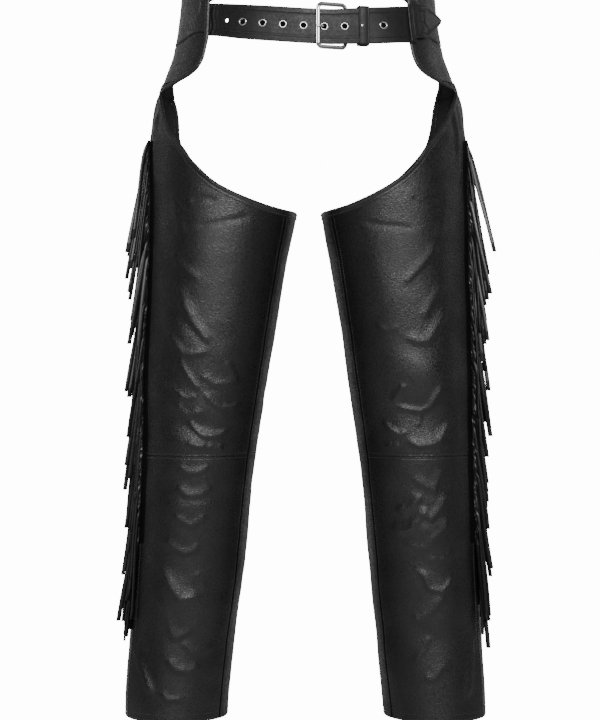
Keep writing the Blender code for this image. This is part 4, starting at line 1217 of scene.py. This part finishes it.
BUCKLE_X = 32.0
BUCKLE_UP = 0.4
BUCKLE_AT = belt_point(belt_turn(BUCKLE_X), 0.0, 0.0)
BUCKLE_OUT = belt_point(belt_turn(BUCKLE_X), 0.0, 1.0) - BUCKLE_AT
BUCKLE_ACROSS = np.array([-BUCKLE_OUT[1], BUCKLE_OUT[0], 0.0])
LEFT_BAR_OUT = 4.3
RIGHT_BAR_OUT = -8.1
FRAME_WIDE = 45.6
FRAME_HIGH = 65.0
BAR_WIDE = 5.8
BAR_THICK = 4.0
RIGHT_BAR_ACROSS = (FRAME_WIDE - BAR_WIDE) / 2
UP = np.array([0.0, 0.0, 1.0])


def buckle_spot(across, out, up):
    return BUCKLE_AT + BUCKLE_ACROSS * across + BUCKLE_OUT * out + UP * up


def buckle_frame():
    half_w = (FRAME_WIDE - BAR_WIDE) / 2
    half_h = (FRAME_HIGH - BAR_WIDE) / 2
    corner = 6.0
    path = []
    for cx, cz, start in ((half_w - corner, half_h - corner, 0.0),
                          (corner - half_w, half_h - corner, 90.0),
                          (corner - half_w, corner - half_h, 180.0),
                          (half_w - corner, corner - half_h, 270.0)):
        for k in range(13):
            turn = math.radians(start + 90.0 * k / 12)
            path.append((cx + corner * math.cos(turn), cz + corner * math.sin(turn),
                         math.cos(turn), math.sin(turn)))
    section = ((-0.5, -0.2), (-0.5, 0.12), (-0.47, 0.36), (-0.38, 0.46), (-0.12, 0.48),
               (-0.06, 0.38), (0.0, 0.34), (0.06, 0.38), (0.12, 0.48), (0.38, 0.46),
               (0.47, 0.36), (0.5, 0.12), (0.5, -0.2), (0.4, -0.42), (0.2, -0.5),
               (-0.2, -0.5), (-0.4, -0.42))
    lean = (RIGHT_BAR_OUT - LEFT_BAR_OUT) / (2 * half_w)
    points = []
    faces = []
    for u, v, du, dv in path:
        for wide, thick in section:
            across = u + du * wide * BAR_WIDE
            out = (LEFT_BAR_OUT + RIGHT_BAR_OUT) / 2 + lean * across + thick * BAR_THICK
            points.append(buckle_spot(across, out, v + dv * wide * BAR_WIDE + BUCKLE_UP))
    size = len(section)
    for k in range(len(path)):
        a = k * size
        b = ((k + 1) % len(path)) * size
        for m in range(size):
            n = (m + 1) % size
            faces.append((a + m, b + m, b + n, a + n))
    obj = build("fine_buckle_frame", np.array(points), faces, CHROME, True)
    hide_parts("buckle_frame")


def smoothed(points, times=5):
    """Catmull and Rom curve through points, with more of them."""
    p = np.array(points)
    p = np.concatenate([[2 * p[0] - p[1]], p, [2 * p[-1] - p[-2]]])
    out = []
    for k in range(1, len(p) - 2):
        for m in range(times):
            t = m / times
            out.append(0.5 * (2 * p[k] + (p[k + 1] - p[k - 1]) * t
                              + (2 * p[k - 1] - 5 * p[k] + 4 * p[k + 1] - p[k + 2]) * t * t
                              + (3 * p[k] - p[k - 1] - 3 * p[k + 1] + p[k + 2]) * t ** 3))
    out.append(p[-2])
    return np.array(out)


def flat_sides(path):
    way = np.gradient(path, axis=0)
    way[:, 2] = 0.0
    way /= np.linalg.norm(way, axis=1, keepdims=True)
    return np.stack([way[:, 1], -way[:, 0], 0 * way[:, 0]], -1)


def buckle_strap():
    """Short strap from the left yoke, folded round the hidden bar."""
    path = []
    for x in (153.0, 143.0, 133.0, 121.0, 109.0, 97.0, 85.0, 73.0, 66.0):
        path.append(belt_point(belt_turn(x), 0.0, -3.3))
    reach = BAR_WIDE / 2 + 2.1
    rise = BAR_THICK / 2 + 2.3
    for turn in (60.0, 95.0, 130.0, 165.0, 195.0, 230.0, 265.0, 300.0):
        a = math.radians(turn)
        path.append(buckle_spot(RIGHT_BAR_ACROSS + reach * math.cos(a),
                                RIGHT_BAR_OUT + rise * math.sin(a), 0.0))
    for x in (61.5, 67.5, 74.0, 82.0, 91.0, 99.0):
        path.append(belt_point(belt_turn(x), 0.0, -6.6 - max(0.0, 68.0 - x) * 0.42))
    times = 4
    path = smoothed(path, times)
    sides = flat_sides(path)
    x = path[:, 0]
    middle = np.where(x > 66.5, read(BELT, 1, x), 0.6)
    turn = belt_turn(x)
    slant = (belt_point(turn, 15.0, 0.0) - belt_point(turn, -15.0, 0.0)) / 30.0
    slant[:, 2] = 0.0
    slant = slant * belt_slope(x)[:, None]
    half = 23.0
    levels = np.concatenate([[-1.0, -0.97, -0.92], np.linspace(-0.84, -0.183, 8),
                             [0.0], np.linspace(0.183, 0.84, 8), [0.92, 0.97, 1.0]])
    up = middle[:, None] + half * levels[None, :]
    drop = roll(half * (1 - np.abs(levels)))[None, :]
    base = path[:, None, :] + UP * up[..., None] + slant[:, None, :] * up[..., None]
    outer = base + sides[:, None, :] * (1.1 - drop)[..., None]
    inner = base - sides[:, None, :] * (1.1 - 0.3 * drop)[..., None]
    hole = np.zeros((len(path) - 1, len(levels) - 1), bool)
    hole[8 * times:17 * times, 10:12] = True
    points, faces = shell(outer, inner, hole)
    obj = build("belt_buckle_strap", points, faces, BELT_HIDE, True)
    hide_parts("buckle_strap")


def prong():
    path = []
    for turn in (60.0, 15.0, -30.0, -75.0, -120.0, -155.0):
        a = math.radians(turn)
        path.append(buckle_spot(RIGHT_BAR_ACROSS + 5.1 * math.cos(a),
                                RIGHT_BAR_OUT + 4.2 * math.sin(a), 0))
    hole = PRONG_HOLE_X - BUCKLE_X
    for across, out in ((hole + 14.0, -9.6), (hole + 4.5, -6.6), (hole + 0.6, -4.4),
                        (hole - 0.8, 0.0), (hole - 1.5, 3.0), (hole - 3.2, 6.0),
                        (hole - 6.0, 8.2), (hole - 9.8, 8.6), (hole - 13.2, 8.1)):
        path.append(buckle_spot(across, out, 0.0))
    path = smoothed(path, 5)
    sides = flat_sides(path)
    middle = float(read(BELT, 1, PRONG_HOLE_X))
    rings = []
    for k in range(14):
        a = 2 * math.pi * k / 14
        size = np.ones(len(path))
        size[-6:] = (0.97, 0.93, 0.86, 0.74, 0.58, 0.34)
        rings.append(path + UP * middle + UP * (1.6 * math.sin(a) * size)[:, None]
                     + sides * (0.95 * math.cos(a) * size)[:, None])
    obj = swept("fine_prong", np.stack(rings, axis=1), CHROME)
    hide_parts("prong")


def loop_keeper():
    x = 75.8
    middle = float(read(BELT, 1, x))
    half = float(read(BELT, 2, x)) + 1.0
    front = float(read(BELT, 3, x + 7.0)) + STRAP / 2 + 1.1
    behind = -6.6 - 1.1 - 1.7
    thick = 1.6
    corners = ((front - 2.0, half - 2.0, 0.0), (behind + 2.0, half - 2.0, 90.0),
               (behind + 2.0, 2.0 - half, 180.0), (front - 2.0, 2.0 - half, 270.0))
    rim = []
    for q, (cu, cv, start) in enumerate(corners):
        for k in range(7):
            a = math.radians(start + 15.0 * k)
            rim.append((cu, cv, math.cos(a), math.sin(a)))
        nu, nv, _ = corners[(q + 1) % 4]
        a = math.radians(start + 90.0)
        for k in range(1, 8):
            rim.append((cu + (nu - cu) * k / 8, cv + (nv - cv) * k / 8,
                        math.cos(a), math.sin(a)))
    section = [(-7.0, 0.4), (-6.6, 0.0), (0.0, 0.0), (6.6, 0.0), (7.0, 0.4), (7.0, 1.0),
               (6.7, 1.45), (5.9, 1.6), (5.2, 1.25), (4.4, 1.5), (0.0, 1.65), (-4.4, 1.5),
               (-5.2, 1.25), (-5.9, 1.6), (-6.7, 1.45), (-7.0, 1.0)]
    points = []
    faces = []
    for cu, cv, du, dv in rim:
        for side_x, rise in section:
            lift = cu + du * (2.0 + rise)
            up = cv + dv * (2.0 + rise)
            points.append(belt_point(belt_turn(x + side_x), middle + up, lift,
                                     float(belt_slope(x))))
    size = len(section)
    for k in range(len(rim)):
        a = k * size
        b = ((k + 1) % len(rim)) * size
        for m in range(size):
            n = (m + 1) % size
            faces.append((a + m, b + m, b + n, a + n))
    obj = build("fine_belt_keeper", np.array(points), faces, BELT_HIDE, True)
    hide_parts("belt_keeper")
    profile = [(0.05, 0.0), (2.2, 0.0), (2.2, 0.5), (2.0, 0.95), (1.5, 1.25), (0.8, 1.4),
               (0.05, 1.45)]
    turned("fine_keeper_stud", x - 3.2, 0.0, front + thick + 0.3, profile, 24, CHROME,
           "keeper_stud")


# Sewn lines on the tab, each point an angle and a height.
TAB_LINES = (
    ((50.0, -12.0), (50.0, 34.0)),
    ((54.0, -3.0), (54.0, 29.0), (59.5, 29.5)),
    ((54.0, -3.0), (60.0, -3.0), (63.0, 4.0), (58.6, 12.0)),
    ((58.8, 26.0), (58.8, 12.5), (55.2, 12.5)),
    ((56.6, 8.0), (56.6, 2.0)),
)


def pointed_tab():
    """Tab on the left yoke over the strap's end, with its point to the side."""
    turn = np.concatenate([[47.4, 47.7, 48.1, 48.7], np.linspace(49.5, 86.6, 110),
                           [87.1, 87.5, 87.8, 88.0]])
    share = np.concatenate([[0.0, 0.015, 0.035, 0.065], np.linspace(0.10, 0.90, 52),
                            [0.935, 0.965, 0.985, 1.0]])
    low = read(TAB, 1, turn)[:, None]
    high = read(TAB, 2, turn)[:, None]
    a = np.radians(turn)[:, None]
    up = low + (high - low) * share[None, :]
    near = np.minimum(share, 1 - share)[None, :] * (high - low)
    near = np.minimum(near, np.minimum(turn - 47.4, 88.0 - turn)[:, None] * 2.6)
    drop = roll(near)
    bed = read(TAB, 3, turn)[:, None]
    groove = 0.5 * np.exp(-((near - 4.6) / 0.9) ** 2) - 0.35 * ease((4.0 - near) / 1.5)
    bumpy = 0.3 * waves(turn[:, None] * 2.8, up, 0 * up, 91, 26.0)
    for route in TAB_LINES:
        for (t0, u0), (t1, u1) in zip(route[:-1], route[1:]):
            gone = np.array([(t1 - t0) * 2.9, u1 - u0])
            size = float(np.linalg.norm(gone))
            gx = (turn[:, None] - t0) * 2.9
            gz = up - u0
            t = np.clip((gx * gone[0] + gz * gone[1]) / size ** 2, 0.0, 1.0)
            far = np.hypot(gx - gone[0] * t, gz - gone[1] * t)
            groove = np.maximum(groove, 1.05 * np.exp(-(far / 1.1) ** 2))
    outer = belt_point(a, up, bed + 1.0 - drop - groove + bumpy)
    inner = belt_point(a, up, bed - 1.0 + 0.3 * drop)
    points, faces = shell(outer, inner)
    obj = build("fine_pointed_tab", points, faces, BELT_HIDE, True)
    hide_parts("pointed_tab")
    lines = []

    def stitched(route):
        route = np.array(route, float)
        at = np.concatenate([[0.0], np.cumsum(np.linalg.norm(
            np.diff(route * [2.9, 1.0], axis=0), axis=1))])
        fine = np.arange(0.0, at[-1], 0.8)
        t = np.interp(fine, at, route[:, 0])
        u = np.interp(fine, at, route[:, 1])
        lift = read(TAB, 3, t) + 1.0
        line = belt_point(np.radians(t), u, lift)
        lines.append((line, belt_point(np.radians(t), u, lift + 1.0) - line))

    for column, away in ((1, 4.6), (2, -4.6)):
        t = np.linspace(52.0, 80.0, 30)
        stitched(np.stack([t, read(TAB, column, t) + away], -1))
    stitches("tab_stitches", lines, pitch=3.0, length=2.2, width=0.7)


LEG_SEEDS = {-1: 11, 1: 29}
for side, label in ((-1, "right"), (1, "left")):
    seed = LEG_SEEDS[side]
    front, back = leg(side, label, seed)
    waist_yoke(side, label, seed)
    hip_piece(side, label, seed)
    fringe(side, label, seed)
    angle, z = edge_path(side, front, back)
    # The bands use the lightened band leather: painted highlight along the bound edges.
    binding("edge_band_" + label, side, angle, z, seed, 9.5, skin, True, BAND_PAINTED_HIGHLIGHT)
    leg_seams(side, label, seed, angle, z)
    front_binding(side, label, seed)
    back_binding(side, label, seed)
    hip_folds(side, label, seed)
    inseam_painted_shade(side, label, seed)

long_strap()
eyelets()
buckle_strap()
buckle_frame()
prong()
loop_keeper()
pointed_tab()


# Camera, floor and light.
camera_data = bpy.data.cameras.new("camera")
camera = bpy.data.objects.new("camera", camera_data)
bpy.context.scene.collection.objects.link(camera)
camera.location = (-0.01195, -3.0, -0.462)
camera.rotation_euler = (math.radians(90.0), 0.0, 0.0)
camera_data.sensor_width = 36.0
camera_data.lens = 104.17
camera_data.clip_end = 30.0
bpy.context.scene.camera = camera

FLOOR_Z = -1.45
FLOOR_FAR = 2.6


def floor():
    mesh = bpy.data.meshes.new("floor")
    corners = [(-6.0, -6.0, FLOOR_Z), (6.0, -6.0, FLOOR_Z), (6.0, FLOOR_FAR, FLOOR_Z),
               (-6.0, FLOOR_FAR, FLOOR_Z)]
    mesh.from_pydata(corners, [], [(0, 1, 2, 3)])
    made = bpy.data.materials.new("pale_floor")
    made.use_nodes = True
    shader = made.node_tree.nodes["Principled BSDF"]
    shader.inputs["Base Color"].default_value = (0.9, 0.9, 0.9, 1.0)
    shader.inputs["Roughness"].default_value = 0.9
    shader.inputs["Specular IOR Level"].default_value = 0.1
    mesh.materials.append(made)
    obj = bpy.data.objects.new("floor", mesh)
    bpy.context.scene.collection.objects.link(obj)


def surroundings(seen, lighting):
    """White as the camera sees it, dimmer as light on the leather."""
    world = bpy.data.worlds.new("world")
    bpy.context.scene.world = world
    world.use_nodes = True
    nodes = world.node_tree.nodes
    links = world.node_tree.links
    soft = nodes["Background"]
    soft.inputs["Color"].default_value = (1.0, 1.0, 1.0, 1.0)
    soft.inputs["Strength"].default_value = lighting
    bright = nodes.new("ShaderNodeBackground")
    bright.inputs["Color"].default_value = (1.0, 1.0, 1.0, 1.0)
    bright.inputs["Strength"].default_value = seen
    kind = nodes.new("ShaderNodeLightPath")
    mix = nodes.new("ShaderNodeMixShader")
    links.new(kind.outputs["Is Camera Ray"], mix.inputs[0])
    links.new(soft.outputs[0], mix.inputs[1])
    links.new(bright.outputs[0], mix.inputs[2])
    links.new(mix.outputs[0], nodes["World Output"].inputs["Surface"])


def area_light(name, at, aim, size, tall, power):
    data = bpy.data.lights.new(name, "AREA")
    data.shape = "RECTANGLE"
    data.size = size
    data.size_y = tall
    data.energy = power
    light = bpy.data.objects.new(name, data)
    bpy.context.scene.collection.objects.link(light)
    light.location = at
    way = Vector(aim) - Vector(at)
    light.rotation_euler = way.to_track_quat("-Z", "Y").to_euler()
    return light


floor()
surroundings(14.0, 0.13)
area_light("key", (0.15, -3.3, 0.8), (0.0, 0.0, -0.5), 3.4, 1.3, 135.0)
area_light("side_right", (-2.4, 0.3, 0.3), (-0.2, 0.0, -0.4), 0.4, 2.2, 4.0)
area_light("side_left", (2.4, 0.3, 0.3), (0.2, 0.0, -0.4), 0.4, 2.2, 4.0)
area_light("hip_right", (-0.9, 0.5, 0.25), (-0.2, 0.0, -0.12), 0.25, 0.5, 0.5)
area_light("hip_left", (0.9, 0.5, 0.25), (0.2, 0.0, -0.12), 0.25, 0.5, 0.5)
area_light("rim_right", (-1.15, 2.0, -0.3), (0.0, 0.0, -0.5), 0.4, 2.2, 2.4)
area_light("rim_left", (1.15, 2.0, -0.3), (0.0, 0.0, -0.5), 0.4, 2.2, 2.4)
